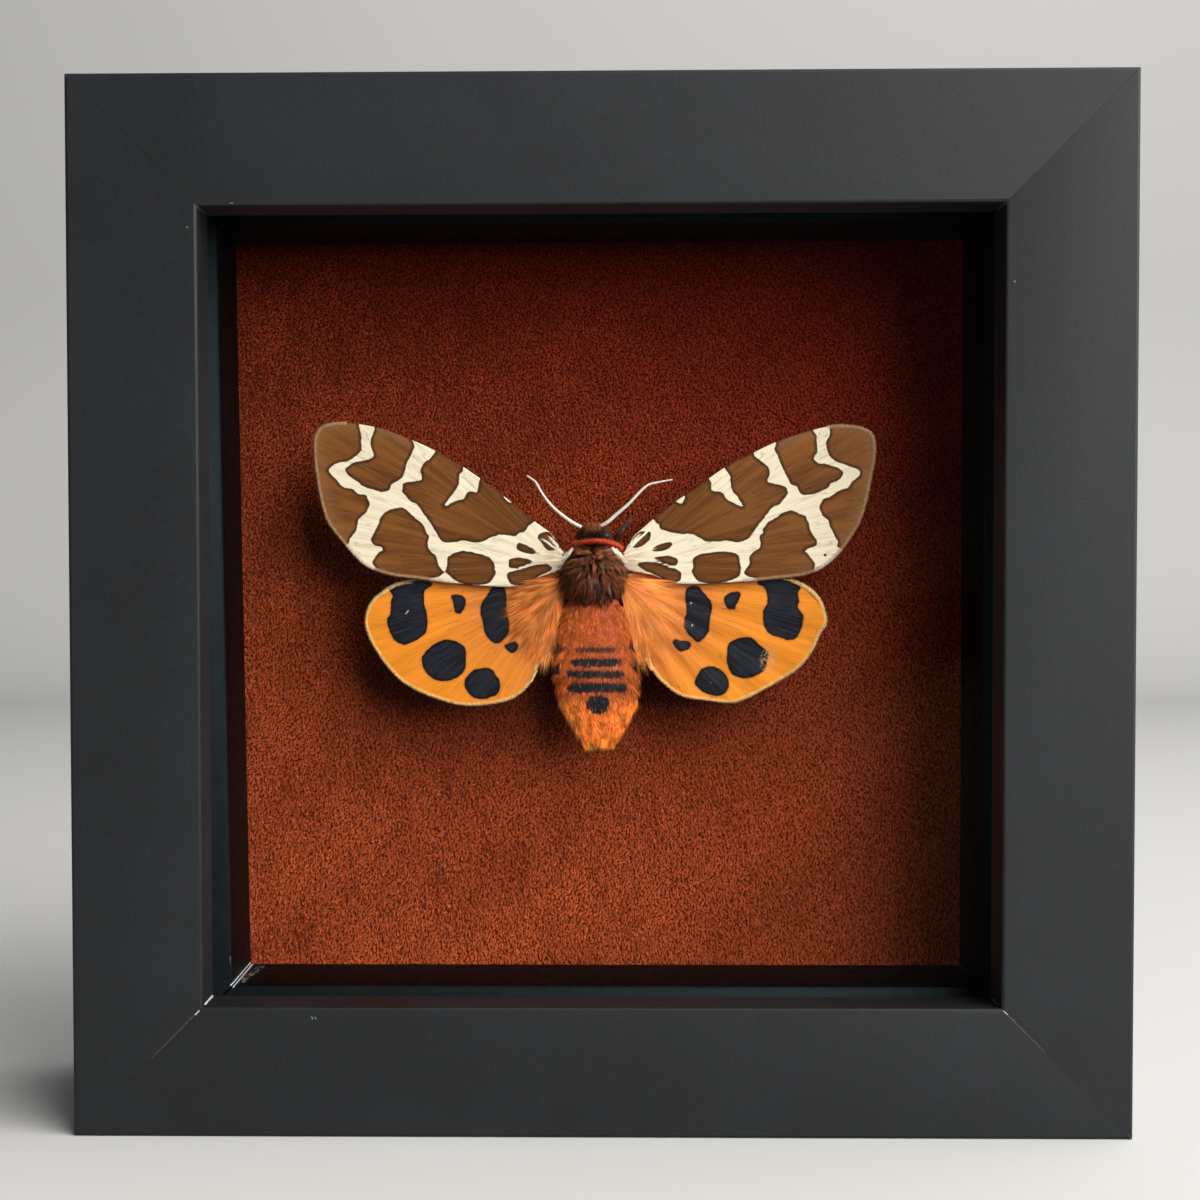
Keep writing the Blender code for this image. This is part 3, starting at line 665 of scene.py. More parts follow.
# Painted shade: the velvet turns darker and redder towards the top and the right, where the rails shade it,
# with a cloudy edge.
cloudy = velvet.noise(velvet.place(), 0.06, 2.0, 0.5) - 0.5
painted_shade_top_right = velvet.rise(across * 0.4 + upward + cloudy * 9.0, -10.0, 50.0)
shade = velvet.blend(painted_shade_top_right, shade, velvet.blend(along, (0.070, 0.004, 0.002), (0.46, 0.046, 0.018)))
# Painted shade as well: the whole velvet is a little lighter at the bottom and darker towards the top.
velvet.set("Base Color", velvet.tint(shade, tone * velvet.rise(upward, -45.0, 5.0, 1.06, 0.86)))

bm = bmesh.new()
bmesh.ops.create_grid(bm, x_segments=80, y_segments=80, size=VELVET_SIDE / 2)
bmesh.ops.rotate(bm, matrix=Matrix.Rotation(math.radians(90), 3, "X"), verts=bm.verts)
bmesh.ops.translate(bm, vec=(0, GROUND_Y, 0), verts=bm.verts)
bmesh.ops.solidify(bm, geom=bm.faces[:], thickness=-GROUND_THICKNESS)
front = min(vert.co.y for vert in bm.verts)
bmesh.ops.translate(bm, vec=(0, GROUND_Y - front, 0), verts=bm.verts)
ground_mesh = mesh_from(bm, "velvet_cloth")
# The ground takes the dark root colour of the pile: painted shade between the tufts.
keep_on(ground_mesh, "along", np.full(len(ground_mesh.vertices), 0.12))
keep_on(ground_mesh, "tone", np.ones(len(ground_mesh.vertices)))
velvet_cloth = add_piece(ground_mesh, velvet, ["velvet"])
print("velvet ground:", len(ground_mesh.polygons), "faces")

# %% [markdown]
# A mesh of many small alike things is best made from arrays: the corners of one tuft are worked
# out for all tufts at once. The same helper writes the arrays of tufts, and later of hairs, into
# a mesh, with the shade of each one stored on its corners.

# %% Meshes from arrays
def mesh_from_arrays(name, places, corners, per_face, smooth=True):
    """A mesh from an array of places and one of faces that all have the same number of corners."""
    mesh = bpy.data.meshes.new(name)
    places = places.reshape(-1, 3) * MM + np.array(MIDDLE)
    mesh.vertices.add(len(places))
    mesh.vertices.foreach_set("co", places.astype(np.float32).ravel())
    corners = corners.astype(np.int32).ravel()
    mesh.loops.add(len(corners))
    mesh.loops.foreach_set("vertex_index", corners)
    mesh.polygons.add(len(corners) // per_face)
    mesh.polygons.foreach_set("loop_start", np.arange(0, len(corners), per_face, dtype=np.int32))
    mesh.update(calc_edges=True)
    if smooth:
        mesh.shade_smooth()
    return mesh


def waves(places, lengths, seed):
    """Smooth random waves over the plane, from -1 to 1, as sums of a few sines."""
    source = np.random.default_rng(seed)
    total = np.zeros(len(places))
    for length in lengths:
        angle = source.uniform(0, 2 * math.pi)
        shift = source.uniform(0, 2 * math.pi)
        across = places[:, 0] * math.cos(angle) + places[:, 1] * math.sin(angle)
        total += np.sin(2 * math.pi * across / length + shift)
    return total / len(lengths)


# %% Velvet pile
TUFT_ROWS = 392
TUFT_HEIGHT = 0.40
TUFT_WIDTH = 0.34

pitch = VELVET_SIDE / TUFT_ROWS
steps = (np.arange(TUFT_ROWS) + 0.5) * pitch - VELVET_SIDE / 2
feet = np.stack(np.meshgrid(steps, steps), axis=-1).reshape(-1, 2)
feet += chance.uniform(-0.45, 0.45, feet.shape) * pitch
feet = np.clip(feet, -VELVET_SIDE / 2 + 0.3, VELVET_SIDE / 2 - 0.3)
count = len(feet)
brush = -math.pi / 2 + 0.6 * waves(feet, (31.0, 17.0, 9.0, 5.3), 3) + chance.normal(0, 0.40, count)
brush += 0.2 * waves(feet, (1.3, 0.9, 0.7), 5)
against = chance.uniform(0, 1, count) < 0.04
brush += math.pi * against
lean = chance.uniform(0.24, 0.50, count)
height = TUFT_HEIGHT * chance.uniform(0.75, 1.1, count)
ways = np.stack([np.cos(brush), np.sin(brush)], axis=1)
level = np.full(count, GROUND_Y)
feet_side = np.stack([-ways[:, 1], ways[:, 0]], axis=1) * TUFT_WIDTH / 2
blade_places = np.stack([
    np.insert(feet + feet_side, 1, level, axis=1),
    np.insert(feet - feet_side, 1, level, axis=1),
    np.insert(feet + ways * lean[:, None], 1, level - height, axis=1),
], axis=1)
blade_faces = np.arange(3 * count).reshape(-1, 1, 3)
pile_mesh = mesh_from_arrays("velvet_pile", blade_places, blade_faces, 3)
blade_tone = np.clip(chance.normal(1.0, 0.21, count), 0.45, 1.8)
blade_tone *= 1.0 + 0.12 * waves(feet, (43.0, 23.0, 13.0), 8) + 0.08 * waves(feet, (2.9, 1.9, 1.3), 9)
keep_on(pile_mesh, "tone", np.repeat(blade_tone, 3))
keep_on(pile_mesh, "along", np.tile([0.38, 0.38, 0.95], count))
velvet_pile = add_piece(pile_mesh, velvet)
print("blades of pile:", count)

# %% [markdown]
# ## The wings: outlines
#
# Each wing is a dry film of a few hundredths of a millimetre, stiffened by veins and covered with
# coloured scales. Its outline is a smooth closed curve through a few points that were measured
# against the frame, left and right apart, because no two wings are quite alike.

# %% Smooth curves
def smooth_loop(points, steps):
    """A closed smooth curve through the points, with a number of steps between each two."""
    here = np.array(points, float)
    p0, p1, p2, p3 = (np.roll(here, shift, axis=0)[:, None, :] for shift in (1, 0, -1, -2))
    t = (np.arange(steps) / steps)[None, :, None]
    curve = 0.5 * (
        2 * p1
        + (p2 - p0) * t
        + (2 * p0 - 5 * p1 + 4 * p2 - p3) * t**2
        + (3 * p1 - p0 - 3 * p2 + p3) * t**3
    )
    return curve.reshape(-1, here.shape[1])


def outside_by(points, loop):
    """How far points lie outside a closed curve, in millimetres; less than nothing inside it."""
    nearest = np.full(len(points), 1e9)
    crossings = np.zeros(len(points), int)
    x, z = points[:, 0], points[:, 1]
    for (x0, z0), (x1, z1) in zip(loop, np.roll(loop, -1, axis=0)):
        dx, dz = x1 - x0, z1 - z0
        along = ((x - x0) * dx + (z - z0) * dz) / max(dx * dx + dz * dz, 1e-12)
        along = np.clip(along, 0.0, 1.0)
        nearest = np.minimum(nearest, np.hypot(x - x0 - along * dx, z - z0 - along * dz))
        if z0 != z1:
            crossings += ((z0 > z) != (z1 > z)) & (x < x0 + (z - z0) / dz * dx)
    return np.where(crossings % 2 == 1, -nearest, nearest)


# %% Outlines of the four wings
OUTLINES = {
    "forewing_left": [
        (-4.65, 6.6), (-5.6, 8.7), (-8.2, 10.7), (-12.6, 14.3), (-16.8, 17.3), (-20.4, 19.4),
        (-24.4, 21.2), (-28.0, 22.4), (-31.5, 22.9), (-33.9, 22.7), (-35.0, 22.1), (-35.5, 20.7),
        (-35.5, 18.6), (-35.2, 16.0), (-34.6, 12.9), (-33.8, 10.5), (-32.1, 8.3), (-29.8, 5.7),
        (-27.9, 4.6), (-25.4, 3.9), (-22.0, 3.5), (-17.6, 2.9), (-13.0, 2.5), (-10.3, 2.6),
        (-7.6, 3.6), (-5.3, 4.4), (-4.65, 4.9),
    ],
    "forewing_right": [
        (3.1, 6.6), (4.1, 8.5), (5.6, 9.9), (8.2, 12.1), (12.5, 15.1), (16.0, 17.5), (19.2, 19.1),
        (22.0, 20.4), (25.6, 21.6), (28.4, 22.3), (30.6, 22.4), (32.6, 22.1), (33.8, 21.4),
        (34.2, 20.2), (34.2, 18.6), (33.7, 16.0), (33.2, 13.4), (32.4, 10.8), (31.4, 8.9),
        (29.6, 6.5), (27.6, 4.8), (25.2, 3.9), (21.6, 3.5), (17.6, 3.1), (12.5, 2.8), (9.4, 2.9),
        (6.6, 3.9), (4.0, 4.4), (3.1, 4.9),
    ],
    "hindwing_left": [
        (-4.65, 3.7), (-7.5, 5.2), (-13.0, 5.2), (-18.0, 4.4), (-22.5, 3.4), (-25.2, 2.9),
        (-27.3, 1.7), (-28.7, 0.3), (-29.3, -1.7), (-28.9, -3.6), (-27.9, -5.5), (-26.5, -7.5),
        (-24.6, -9.4), (-22.1, -10.8), (-19.3, -11.8), (-16.8, -12.3), (-13.5, -12.1),
        (-10.9, -11.4), (-9.1, -10.0), (-7.9, -7.8), (-6.7, -5.9), (-6.0, -3.6), (-5.5, -1.0),
        (-4.9, 1.2), (-4.6, 2.6),
    ],
    "hindwing_right": [
        (3.1, 3.7), (7.0, 5.2), (12.0, 5.2), (17.0, 4.4), (21.0, 3.7), (23.8, 3.3), (25.7, 2.5),
        (27.3, 1.1), (28.0, -0.5), (28.3, -2.1), (27.5, -3.4), (26.6, -5.4), (25.0, -7.5),
        (22.9, -9.0), (20.6, -10.3), (18.0, -11.6), (16.4, -12.0), (13.6, -11.7), (10.8, -11.3),
        (8.9, -10.3), (7.0, -8.4), (5.9, -6.2), (5.3, -4.0), (4.7, -2.0), (3.9, 0.5), (3.1, 2.4),
    ],
}
print("wings:", ", ".join(OUTLINES))

# %% [markdown]
# ## The wings: markings
#
# A tiger moth's forewing is brown, parted by a cream network, and its hindwing is orange with
# blue-black spots. The patches keep crisp, slightly ragged edges however near one looks. A painted
# picture would blur there. So each patch is a closed curve, and each point of the wing stores how
# far it is from the nearest edge of a patch. The finish then turns that distance into colour, and
# can lay a dark rim along the edge as well. A patch that meets the wing's margin runs on past it.

# %% Brown patches of the left forewing
PATCHES = {}
HOLES = {}
PATCHES["forewing_left"] = [
    [
        (-29.9, 24.0), (-29.95, 23.0), (-29.8, 22.0), (-29.65, 21.2), (-29.7, 20.5),
        (-29.6, 19.6), (-29.8, 19.3), (-30.3, 18.8), (-30.8, 18.45), (-31.5, 18.1),
        (-32.4, 18.0), (-33.15, 17.7), (-33.6, 17.3), (-33.75, 16.9), (-33.4, 16.5),
        (-33.0, 16.05), (-32.65, 15.8), (-32.4, 15.3), (-31.9, 14.95), (-31.3, 14.8),
        (-30.7, 14.65), (-30.3, 14.27), (-29.8, 14.0), (-29.1, 14.0), (-28.9, 13.5),
        (-28.6, 12.87), (-28.8, 12.3), (-29.1, 11.67), (-29.6, 11.3), (-30.0, 10.87),
        (-30.2, 10.2), (-30.3, 9.6), (-30.7, 9.0), (-31.1, 8.45), (-31.2, 8.05), (-31.5, 7.75),
        (-33.0, 7.0), (-37.0, 7.0), (-37.0, 24.0),
    ],
    [
        (-28.1, 24.0), (-28.0, 22.3), (-28.1, 21.8), (-28.45, 21.0), (-28.5, 20.1),
        (-28.3, 19.5), (-28.1, 18.87), (-28.5, 18.47), (-29.1, 18.27), (-29.95, 18.15),
        (-30.75, 17.93), (-31.4, 17.5), (-31.75, 17.1), (-31.5, 16.6), (-30.9, 16.07),
        (-30.2, 15.67), (-29.7, 15.13), (-29.1, 14.87), (-28.45, 14.67), (-27.8, 14.47),
        (-27.2, 14.3), (-26.5, 14.4), (-26.1, 14.67), (-25.9, 15.2), (-25.3, 15.6),
        (-24.9, 15.8), (-24.4, 16.3), (-24.1, 17.2), (-23.9, 18.0), (-23.4, 18.9),
        (-23.0, 19.87), (-23.1, 20.5), (-23.4, 21.0), (-23.6, 23.0),
    ],
    [
        (-20.0, 21.0), (-20.4, 19.3), (-20.7, 18.9), (-21.2, 18.3), (-21.8, 17.9),
        (-22.2, 17.3), (-22.2, 16.67), (-22.1, 15.87), (-22.7, 15.67), (-23.5, 15.55),
        (-24.4, 15.37), (-24.5, 14.7), (-24.6, 14.33), (-24.07, 13.75), (-23.5, 13.1),
        (-22.87, 12.87), (-22.4, 12.33), (-21.87, 11.55), (-21.27, 10.75), (-20.8, 10.07),
        (-20.4, 9.33), (-20.0, 8.6), (-19.6, 8.13), (-19.2, 8.0), (-18.0, 8.0), (-17.27, 8.2),
        (-16.47, 8.2), (-15.8, 8.03), (-14.87, 8.0), (-14.3, 8.2), (-13.67, 8.56),
        (-12.93, 8.73), (-12.53, 8.96), (-11.93, 8.93), (-11.13, 8.83), (-10.33, 8.8),
        (-10.07, 9.13), (-9.4, 9.27), (-9.07, 9.6), (-8.73, 10.13), (-8.2, 10.5), (-7.6, 12.0),
    ],
    [
        (-24.6, 12.4), (-25.35, 12.27), (-26.15, 12.07), (-26.87, 11.6), (-27.35, 10.95),
        (-27.5, 10.4), (-27.87, 9.67), (-28.27, 8.87), (-28.53, 8.33), (-28.27, 7.85),
        (-27.8, 7.6), (-27.2, 7.45), (-26.95, 7.2), (-27.07, 7.0), (-27.53, 6.8),
        (-27.93, 6.27), (-28.2, 5.8), (-28.33, 5.36), (-28.1, 5.1), (-27.6, 4.5), (-26.6, 3.0),
        (-24.0, 2.6), (-22.0, 2.9), (-21.47, 3.53), (-20.4, 3.63), (-19.8, 3.87),
        (-19.27, 4.33), (-19.67, 4.67), (-20.07, 5.2), (-20.17, 5.8), (-20.47, 6.45),
        (-21.0, 6.93), (-21.37, 7.53), (-21.33, 8.13), (-21.2, 8.87), (-21.6, 9.27),
        (-21.77, 9.93), (-22.2, 10.53), (-22.87, 11.0), (-23.47, 11.55), (-24.0, 12.07),
    ],
    [
        (-19.15, 4.35), (-19.0, 5.0), (-18.97, 5.67), (-18.9, 6.13), (-18.33, 6.53),
        (-17.6, 6.83), (-16.87, 6.96), (-16.2, 6.87), (-15.4, 6.7), (-14.47, 6.47),
        (-13.67, 6.13), (-13.27, 5.7), (-13.03, 5.07), (-13.04, 4.6), (-12.85, 4.27),
        (-13.13, 3.75), (-13.4, 3.27), (-13.95, 2.87), (-15.0, 2.7), (-16.2, 2.73),
        (-17.33, 2.96), (-18.13, 3.33), (-18.6, 3.8), (-19.03, 4.13),
    ],
    [
        (-11.5, 3.8), (-11.47, 4.07), (-11.13, 4.33), (-10.33, 4.5), (-9.4, 4.73),
        (-8.47, 5.07), (-7.53, 5.27), (-6.53, 5.27), (-6.0, 5.0), (-5.93, 4.53), (-7.13, 4.0),
        (-8.07, 3.4), (-9.0, 3.0), (-9.93, 2.67), (-10.73, 2.67), (-11.2, 3.07), (-11.43, 3.47),
    ],
    [
        (-11.27, 5.6), (-11.13, 5.93), (-10.33, 6.09), (-9.4, 6.0), (-8.6, 5.8), (-8.2, 5.57),
        (-8.6, 5.36), (-9.27, 5.13), (-10.07, 4.87), (-10.87, 4.76), (-11.24, 4.93),
    ],
    [
        (-10.33, 7.4), (-10.23, 7.8), (-9.87, 7.93), (-9.27, 7.73), (-8.6, 7.4), (-8.0, 7.0),
        (-7.87, 6.73), (-8.2, 6.53), (-9.0, 6.6), (-9.67, 6.8), (-10.17, 7.07),
    ],
    [
        (-7.67, 8.53), (-7.4, 9.07), (-6.87, 9.27), (-6.2, 9.27), (-5.27, 8.4), (-4.67, 7.6),
        (-4.93, 7.2), (-5.53, 7.07), (-6.2, 6.93), (-6.73, 7.27), (-7.2, 7.93),
    ],
]
HOLES["forewing_left"] = [
    [
        (-16.0, 19.0), (-16.9, 17.4), (-16.93, 16.87), (-17.37, 16.47), (-17.43, 15.73),
        (-17.5, 15.13), (-17.87, 14.53), (-18.47, 13.73), (-19.07, 12.93), (-19.33, 12.5),
        (-19.1, 12.45), (-18.53, 12.8), (-17.8, 13.2), (-17.0, 13.33), (-16.67, 13.73),
        (-16.33, 14.27), (-15.67, 14.3), (-15.33, 14.2), (-15.05, 14.73), (-15.0, 15.33),
        (-14.85, 15.9), (-14.2, 17.5),
    ],
    [
        (-11.9, 13.8), (-11.76, 13.53), (-11.6, 13.3), (-11.13, 12.93), (-10.9, 12.95),
        (-10.6, 13.2), (-11.1, 13.9),
    ],
]
print("left forewing:", len(PATCHES["forewing_left"]), "patches")

# %% Brown patches of the right forewing
PATCHES["forewing_right"] = [
    [
        (28.6, 24.0), (28.6, 22.6), (28.6, 22.0), (28.6, 21.2), (28.27, 20.73), (28.17, 20.13),
        (28.3, 19.47), (28.53, 18.8), (28.93, 18.27), (29.67, 17.87), (30.6, 17.53),
        (31.4, 17.27), (32.07, 17.0), (32.36, 16.67), (32.33, 16.2), (31.8, 15.8),
        (31.27, 15.33), (30.93, 14.73), (30.33, 14.53), (29.53, 14.27), (29.2, 13.93),
        (28.6, 13.53), (27.87, 13.33), (27.6, 12.93), (27.33, 12.4), (27.53, 11.73),
        (27.87, 11.13), (28.5, 10.6), (28.6, 10.0), (28.93, 9.33), (29.33, 8.6), (29.67, 7.93),
        (29.47, 7.4), (30.0, 7.2), (31.0, 6.0), (36.0, 6.0), (36.0, 24.0),
    ],
    [
        (22.2, 22.5), (22.0, 20.4), (21.7, 19.53), (22.07, 18.87), (22.33, 18.13),
        (22.73, 17.2), (23.13, 16.4), (23.53, 15.6), (23.8, 15.13), (24.4, 14.93),
        (24.73, 14.47), (25.0, 14.0), (25.53, 13.77), (26.33, 13.87), (27.13, 14.13),
        (27.93, 14.43), (28.47, 14.67), (28.73, 15.2), (29.4, 15.47), (29.93, 15.8),
        (30.3, 16.33), (30.27, 16.73), (29.8, 17.13), (29.0, 17.4), (28.07, 17.67),
        (27.27, 17.76), (26.8, 18.07), (26.63, 18.47), (27.0, 19.0), (27.1, 19.6),
        (27.0, 20.27), (27.0, 21.13), (26.63, 21.67), (26.5, 22.0), (26.4, 24.0),
    ],
    [
        (18.7, 20.5), (19.16, 18.87), (19.87, 18.2), (20.53, 17.67), (21.0, 17.27),
        (21.16, 16.67), (21.07, 16.07), (20.87, 15.47), (21.8, 15.2), (23.07, 14.87),
        (23.4, 14.2), (23.37, 13.87), (22.87, 13.27), (22.4, 12.67), (21.53, 12.33),
        (21.07, 11.8), (20.53, 11.07), (20.0, 10.4), (19.4, 9.53), (19.0, 9.0), (18.53, 8.4),
        (17.8, 8.07), (17.0, 7.95), (16.47, 8.07), (15.67, 8.16), (14.87, 8.03), (13.27, 8.07),
        (12.6, 8.4), (11.93, 8.8), (11.47, 9.0), (10.33, 8.96), (9.53, 9.07), (8.87, 9.2),
        (8.07, 9.47), (7.53, 9.6), (7.47, 10.13), (7.0, 10.4), (6.85, 10.8), (6.3, 12.0),
    ],
    [
        (23.67, 11.87), (24.2, 11.8), (24.87, 11.47), (25.53, 11.27), (25.8, 10.8),
        (26.04, 10.27), (26.13, 9.6), (26.47, 9.0), (26.87, 8.47), (27.07, 8.0), (27.0, 7.6),
        (26.33, 7.27), (25.53, 6.9), (25.93, 6.53), (26.33, 6.0), (26.67, 5.53), (26.9, 5.13),
        (26.7, 4.73), (26.7, 4.3), (26.0, 3.0), (23.0, 2.6), (20.5, 2.9), (19.67, 3.44),
        (18.6, 3.67), (18.0, 4.07), (18.07, 4.53), (18.53, 5.0), (18.67, 5.47), (18.63, 6.07),
        (19.0, 6.67), (19.87, 7.27), (20.04, 7.87), (19.87, 8.4), (19.93, 8.87), (20.33, 9.07),
        (20.27, 9.53), (20.67, 10.07), (21.0, 10.47), (21.6, 10.8), (22.2, 11.2), (22.87, 11.67),
    ],
    [
        (11.6, 5.6), (11.67, 5.93), (12.0, 6.27), (12.73, 6.53), (13.53, 6.67), (14.47, 6.73),
        (15.53, 6.83), (16.33, 6.73), (17.0, 6.53), (17.37, 6.13), (17.47, 5.47), (17.6, 4.8),
        (17.53, 4.13), (17.27, 3.67), (16.6, 3.33), (15.67, 3.0), (14.33, 2.83), (13.0, 2.93),
        (12.2, 3.2), (11.67, 3.8), (11.44, 4.4), (11.67, 4.87),
    ],
    [
        (4.73, 5.27), (5.53, 5.53), (6.6, 5.53), (7.67, 5.27), (8.47, 4.93), (9.53, 4.67),
        (10.07, 4.27), (10.17, 3.8), (10.07, 3.33), (9.53, 3.0), (8.47, 3.13), (7.4, 3.67),
        (6.33, 4.2), (5.27, 4.67),
    ],
    [
        (6.67, 6.0), (7.27, 6.2), (8.47, 6.27), (9.27, 6.13), (9.67, 5.8), (9.73, 5.33),
        (9.4, 5.04), (8.73, 5.13), (7.93, 5.4), (7.13, 5.73),
    ],
    [
        (6.5, 7.07), (7.0, 7.47), (7.67, 7.8), (8.6, 8.03), (9.07, 7.87), (9.07, 7.53),
        (8.6, 7.2), (7.93, 6.93), (7.0, 6.83),
    ],
    [
        (3.33, 7.53), (4.13, 8.4), (5.0, 9.27), (6.2, 9.27), (6.36, 8.93), (6.33, 8.4),
        (5.93, 8.0), (5.27, 7.47), (4.6, 7.27),
    ],
]
HOLES["forewing_right"] = [
    [
        (15.2, 19.0), (15.53, 17.3), (15.73, 16.87), (16.2, 16.27), (16.27, 15.47),
        (16.4, 14.73), (16.6, 14.13), (17.07, 13.8), (17.33, 13.2), (17.73, 12.67),
        (17.83, 12.4), (17.4, 12.53), (16.6, 12.87), (15.8, 13.33), (15.47, 13.87),
        (15.07, 14.2), (14.2, 14.27), (13.87, 14.67), (13.93, 15.33), (13.67, 15.8),
        (13.2, 17.5),
    ],
    [
        (9.2, 13.2), (9.6, 12.93), (10.07, 12.77), (10.53, 12.87), (10.33, 13.13),
        (10.63, 13.4), (10.53, 13.7), (9.8, 14.3),
    ],
]
print("right forewing:", len(PATCHES["forewing_right"]), "patches")

# %% Spots of the hindwings
PATCHES["hindwing_left"] = [
    [
        (-26.4, 2.2), (-25.7, 2.7), (-24.3, 3.05), (-22.5, 3.3), (-21.0, 3.05), (-20.95, 2.6),
        (-21.6, 2.2), (-21.9, 1.8), (-21.9, 0.46), (-21.6, -0.6), (-21.5, -1.86),
        (-21.6, -3.1), (-22.5, -4.0), (-23.4, -4.45), (-24.25, -4.77), (-25.1, -4.6),
        (-25.9, -4.0), (-26.4, -2.9), (-26.6, -1.6), (-26.2, -0.9), (-26.1, 0.64), (-25.86, 1.4),
    ],
    [
        (-18.57, 1.27), (-18.0, 1.54), (-17.1, 1.4), (-16.66, 0.64), (-16.9, -0.25),
        (-17.4, -0.9), (-18.0, -0.8), (-18.2, -0.07), (-18.36, 0.64),
    ],
    [
        (-13.36, 2.43), (-11.9, 2.43), (-11.57, 1.0), (-11.57, -0.6), (-11.2, -2.2),
        (-11.4, -3.46), (-12.3, -4.45), (-13.1, -4.6), (-13.9, -4.0), (-14.4, -3.1),
        (-14.6, -1.86), (-14.9, -0.6), (-14.7, 0.46), (-14.0, 1.45),
    ],
    [
        (-11.9, -4.85), (-11.35, -4.6), (-10.6, -4.3), (-10.15, -4.75), (-10.25, -5.4),
        (-10.7, -5.8), (-11.25, -5.7), (-11.65, -5.3),
    ],
    [
        (-19.4, -4.14), (-18.2, -4.27), (-16.84, -5.07), (-16.66, -6.5), (-16.84, -7.9),
        (-17.6, -8.8), (-19.07, -9.36), (-20.5, -9.2), (-21.75, -8.3), (-22.3, -6.77),
        (-21.9, -5.8), (-20.86, -4.8),
    ],
    [
        (-14.8, -7.7), (-13.5, -7.8), (-12.9, -8.64), (-12.4, -9.5), (-12.6, -10.8),
        (-13.9, -11.5), (-15.1, -11.6), (-16.2, -11.1), (-16.84, -10.07), (-16.8, -9.1),
        (-16.0, -8.1),
    ],
]
PATCHES["hindwing_right"] = [
    [
        (19.6, 2.96), (20.7, 3.3), (22.6, 3.4), (24.07, 2.96), (25.2, 2.34), (24.8, 1.7),
        (24.96, 0.64), (24.8, -0.16), (25.46, -1.14), (25.3, -2.57), (24.8, -3.8),
        (23.8, -4.27), (22.3, -3.9), (21.04, -3.3), (20.5, -2.2), (20.4, -0.6), (20.95, 0.46),
        (20.7, 2.07),
    ],
    [
        (15.5, 1.0), (16.1, 1.6), (17.1, 1.86), (17.7, 1.6), (17.4, 0.73), (17.0, 0.1),
        (16.9, -0.4), (16.1, -0.4), (15.7, 0.2),
    ],
    [
        (10.7, 1.9), (11.4, 2.5), (12.3, 2.5), (13.0, 1.7), (13.8, 0.8), (14.07, -0.25),
        (13.8, -1.7), (13.6, -3.3), (12.8, -4.2), (12.2, -4.5), (11.4, -3.8), (10.6, -2.75),
        (10.6, -1.5), (10.86, -0.6),
    ],
    [
        (9.1, -4.4), (9.7, -4.05), (10.3, -4.3), (10.95, -4.3), (11.45, -4.7), (11.35, -5.2),
        (10.85, -5.5), (10.1, -5.65), (9.5, -5.2),
    ],
    [
        (16.1, -4.7), (17.3, -4.0), (18.7, -3.86), (19.4, -4.2), (20.05, -4.9), (21.1, -5.8),
        (20.95, -6.86), (20.7, -7.9), (19.6, -8.7), (18.2, -9.04), (16.75, -8.64),
        (16.04, -7.57), (15.9, -6.14),
    ],
    [
        (12.7, -7.84), (13.7, -7.5), (14.8, -7.7), (15.7, -8.4), (16.2, -9.45), (15.95, -10.6),
        (15.1, -11.2), (13.9, -11.1), (12.6, -10.5), (11.9, -9.5), (12.3, -8.5),
    ],
]
print("hindwing spots:", len(PATCHES["hindwing_left"]), "and", len(PATCHES["hindwing_right"]))

# %% [markdown]
# ## The wings: film and pleats
#
# The outline is filled with one face, which is then cut by parallel planes into fine cells, so
# that the sheet can bend and store its markings. The wings lean back a little towards their tips,
# as dried wings do, and veins and fine pleats fan out from the root: they are pressed into the
# sheet itself, so that light glances off them from the side. Last the sheet gets its thickness.

# %% Shape of the wing sheets
WING_PLANES = {"forewing": -3.3, "hindwing": -2.6}
WING_ROOTS = {"forewing": (3.0, 4.6), "hindwing": (3.2, 3.4)}
WING_FILM = 0.10
WING_CELL = 0.27


def wing_bend(x, z):
    """How far a wing lies behind its plane, from the rigid model."""
    reach = np.maximum(np.abs(x - BODY_X) - 4.0, 0.0) / 31.0
    return 0.8 * reach**2 + 0.25 * reach * ((z - 8.0) / 14.0) ** 2


def fan_of(kind, x, z):
    """The angle and the distance of points from the root of their wing, in degrees and mm."""
    root_x, root_z = WING_ROOTS[kind]
    across = np.abs(x - BODY_X) - root_x
    up = z - root_z
    return np.degrees(np.arctan2(up, across)), np.hypot(across, up)


def pleats(kind, x, z):
    """Height of the veins and pleats, which fade in from the root."""
    angle, reach = fan_of(kind, x, z)
    fade = np.clip(reach / 8.0, 0.0, 1.0) * np.clip((30.0 - reach) / 12.0 + 0.5, 0.3, 1.0)
    wander = 1.2 * np.sin(reach / 5.0)
    if kind == "forewing":
        ridges = np.cos(np.radians((angle + wander) * 360 / 9.0)) ** 5
        return -0.05 * fade * ridges + 0.012 * fade * np.sin(np.radians(angle * 360 / 2.7))
    ridges = np.cos(np.radians((angle + wander) * 360 / 12.0))
    return -0.10 * fade * ridges + 0.02 * fade * np.sin(np.radians(angle * 360 / 3.1))


